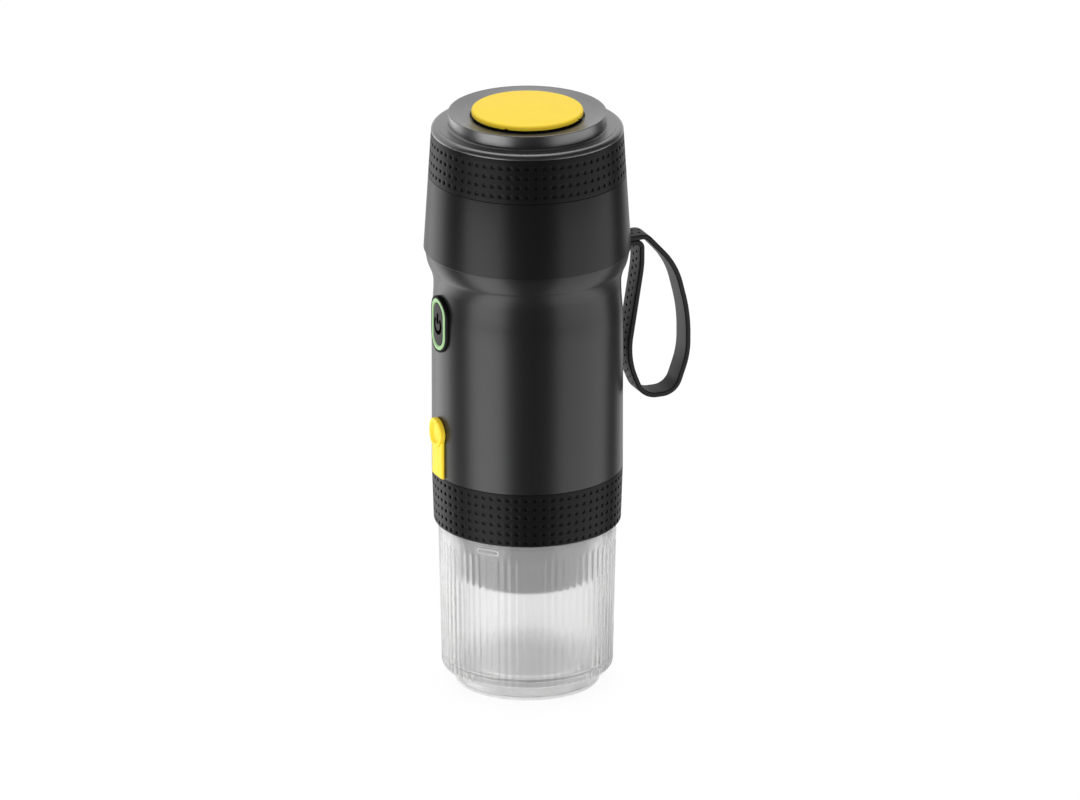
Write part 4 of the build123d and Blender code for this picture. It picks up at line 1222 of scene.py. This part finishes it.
class MESH_OT_coffee_maker_stage(CoffeeMakerOperator, bpy.types.Operator):
    """Pale floor, soft lamps and the camera"""

    bl_idname = "mesh.coffee_maker_stage"
    bl_label = "Stage"

    # Upright strips round the camera: degrees to its right, width and watts. They hang below the
    # floor, because upright walls seen from above mirror what is there.
    strips = [
        ("strip_left", -50, 1.15, 33), ("strip_right", 73, 2.0, 29), ("strip_edge", -126, 0.8, 9)]

    def direction(self, azimuth, elevation):
        """Unit vector from the object towards a place round it."""
        level = cos(elevation)
        return Vector((sin(azimuth) * level, -cos(azimuth) * level, sin(elevation)))

    def execute(self, context):
        studio = context.scene.coffee_maker_studio
        context.scene.view_settings.view_transform = "Standard"
        aside = Vector((cos(studio.azimuth), sin(studio.azimuth), 0))
        aim = aside * studio.aim_side + Vector((0, 0, studio.aim_height))
        towards = self.direction(studio.azimuth, studio.elevation)
        camera = bpy.data.objects.new("view", bpy.data.cameras.new("view"))
        camera.data.lens = studio.lens
        camera.data.clip_end = 100
        camera.location = aim + towards * studio.distance
        camera.rotation_euler = (-towards).to_track_quat("-Z", "Y").to_euler()
        context.scene.collection.objects.link(camera)
        context.scene.camera = camera
        self.floor()
        self.world(studio.azimuth)
        for name, turn, width, watts in self.strips:
            self.softbox(
                name, studio.azimuth + radians(turn), 0, watts, distance=1.3, size=(width, 2.9),
                height=-1.35)
        self.softbox(
            "top", studio.azimuth + pi, radians(72), 3, distance=1.2, size=(0.9, 0.9), height=0.11)
        return {"FINISHED"}

    def softbox(self, name, azimuth, elevation, watts, distance, size, height):
        """Area lamp that looks at the axis, at a height. The eye and the glass don't see it."""
        lamp = bpy.data.lights.new(name, "AREA")
        lamp.shape = "RECTANGLE"
        lamp.size, lamp.size_y = size
        lamp.energy = watts
        box = bpy.data.objects.new(name, lamp)
        towards = self.direction(azimuth, elevation)
        box.location = Vector((0, 0, height)) + towards * distance
        box.rotation_euler = (-towards).to_track_quat("-Z", "Y").to_euler()
        box.visible_camera = False
        box.visible_transmission = False
        bpy.context.scene.collection.objects.link(box)

    def backdrop_rays(self, tree_owner):
        """One for rays that should meet the white background: from the eye and through glass."""
        path = add_node(tree_owner, "ShaderNodeLightPath")
        return path, add_node(tree_owner, "ShaderNodeMath", {"operation": "MAXIMUM"}, {
            0: path.outputs["Is Camera Ray"], 1: path.outputs["Is Transmission Ray"]})

    def floor(self):
        """Wide pale floor: white to the eye, with the object's soft shadow kept. Reflections pass
        through it, so that upright walls mirror the tall strips and not the paper."""
        bm = bmesh.new()
        bmesh.ops.create_grid(bm, x_segments=8, y_segments=8, size=20)
        mesh = bpy.data.meshes.new("floor")
        bm.to_mesh(mesh)
        bm.free()
        floor = bpy.data.objects.new("floor", mesh)
        bpy.context.scene.collection.objects.link(floor)
        material = new_material("floor_paper")
        path, seen = self.backdrop_rays(material)
        share = add_node(material, "ShaderNodeMath", {"operation": "MULTIPLY"}, {
            0: seen.outputs[0], 1: 0.85})
        paper = add_node(material, "ShaderNodeBsdfDiffuse", inputs={"Color": (0.85, 0.85, 0.85, 1)})
        white = add_node(material, "ShaderNodeEmission", inputs={
            "Color": (1, 1, 1, 1), "Strength": 1.05})
        mix = add_node(material, "ShaderNodeMixShader", inputs={
            0: share.outputs[0], 1: paper.outputs[0], 2: white.outputs[0]})
        passing = add_node(material, "ShaderNodeMath", {"operation": "MAXIMUM"}, {
            0: path.outputs["Is Glossy Ray"], 1: path.outputs["Is Shadow Ray"]})
        clear = add_node(material, "ShaderNodeBsdfTransparent")
        whole = add_node(material, "ShaderNodeMixShader", inputs={
            0: passing.outputs[0], 1: mix.outputs[0], 2: clear.outputs[0]})
        add_node(material, "ShaderNodeOutputMaterial", inputs={"Surface": whole.outputs[0]})
        mesh.materials.append(material)

    def world(self, azimuth):
        """Even pale room. Glossy surfaces mirror a white backdrop behind the object instead, and
        the dark on the camera's side. The backdrop's middle stands 19 degrees to the left of
        straight behind, so that the left edges mirror more of it."""
        world = bpy.data.worlds.new("studio")
        bpy.context.scene.world = world
        world.use_nodes = True
        world.node_tree.nodes.clear()
        place = add_node(world, "ShaderNodeTexCoord")
        flat = add_node(world, "ShaderNodeVectorMath", {"operation": "MULTIPLY"}, {
            0: place.outputs["Generated"], 1: (1, 1, 0)})
        level = add_node(world, "ShaderNodeVectorMath", {"operation": "NORMALIZE"}, {
            0: flat.outputs[0]})
        facing = add_node(world, "ShaderNodeVectorMath", {"operation": "DOT_PRODUCT"}, {
            0: level.outputs[0], 1: self.direction(azimuth - radians(161), 0)})
        mirrored = add_node(world, "ShaderNodeMapRange", {"interpolation_type": "SMOOTHSTEP"}, {
            "Value": facing.outputs["Value"], "From Min": 0.4, "From Max": 0.66,
            "To Min": 0.02, "To Max": 0.8})
        path, seen = self.backdrop_rays(world)
        around = add_node(world, "ShaderNodeMix", {"data_type": "FLOAT"}, {
            0: path.outputs["Is Glossy Ray"], 2: 0.9, 3: mirrored.outputs["Result"]})
        strength = add_node(world, "ShaderNodeMath", {"operation": "MAXIMUM"}, {
            0: seen.outputs[0], 1: around.outputs[0]})
        light = add_node(world, "ShaderNodeBackground", inputs={
            "Color": (1, 1, 1, 1), "Strength": strength.outputs[0]})
        add_node(world, "ShaderNodeOutputWorld", inputs={"Surface": light.outputs[0]})


class VIEW3D_PT_coffee_maker(bpy.types.Panel):
    """Sizes, colours and pieces of the coffee maker"""

    bl_idname = "VIEW3D_PT_coffee_maker"
    bl_label = "Coffee Maker"
    bl_space_type = "VIEW_3D"
    bl_region_type = "UI"
    bl_category = "Coffee Maker"

    def draw(self, context):
        scene = context.scene
        for group in (
                scene.coffee_maker_sizes, scene.coffee_maker_colours, scene.coffee_maker_studio):
            box = self.layout.box()
            for name in group.__annotations__:
                box.prop(group, name)
        for operator in OPERATORS:
            self.layout.operator(operator.bl_idname)


OPERATORS = (
    MESH_OT_coffee_maker_stage,
    MESH_OT_coffee_maker_cup,
    MESH_OT_coffee_maker_grips,
    MESH_OT_coffee_maker_barrel,
    MESH_OT_coffee_maker_head,
    MESH_OT_coffee_maker_lid,
    MESH_OT_coffee_maker_vent,
    MESH_OT_coffee_maker_key,
    MESH_OT_coffee_maker_port_cover,
    MESH_OT_coffee_maker_strap,
    MESH_OT_coffee_maker_holder,
    MESH_OT_coffee_maker_inner,
)
GROUPS = (CoffeeMakerSizes, CoffeeMakerColours, CoffeeMakerStudio)


def register():
    for item in GROUPS + OPERATORS + (VIEW3D_PT_coffee_maker,):
        bpy.utils.register_class(item)
    bpy.types.Scene.coffee_maker_sizes = PointerProperty(type=CoffeeMakerSizes)
    bpy.types.Scene.coffee_maker_colours = PointerProperty(type=CoffeeMakerColours)
    bpy.types.Scene.coffee_maker_studio = PointerProperty(type=CoffeeMakerStudio)


def unregister():
    del bpy.types.Scene.coffee_maker_sizes
    del bpy.types.Scene.coffee_maker_colours
    del bpy.types.Scene.coffee_maker_studio
    for item in reversed(GROUPS + OPERATORS + (VIEW3D_PT_coffee_maker,)):
        bpy.utils.unregister_class(item)


def main():
    register()
    bpy.ops.mesh.coffee_maker_stage()
    bpy.ops.mesh.coffee_maker_cup()
    bpy.ops.mesh.coffee_maker_grips()
    bpy.ops.mesh.coffee_maker_barrel()
    bpy.ops.mesh.coffee_maker_head()
    bpy.ops.mesh.coffee_maker_lid()
    bpy.ops.mesh.coffee_maker_vent()
    bpy.ops.mesh.coffee_maker_key()
    bpy.ops.mesh.coffee_maker_port_cover()
    bpy.ops.mesh.coffee_maker_strap()
    bpy.ops.mesh.coffee_maker_holder()
    bpy.ops.mesh.coffee_maker_inner()


if __name__ == "__main__":
    main()
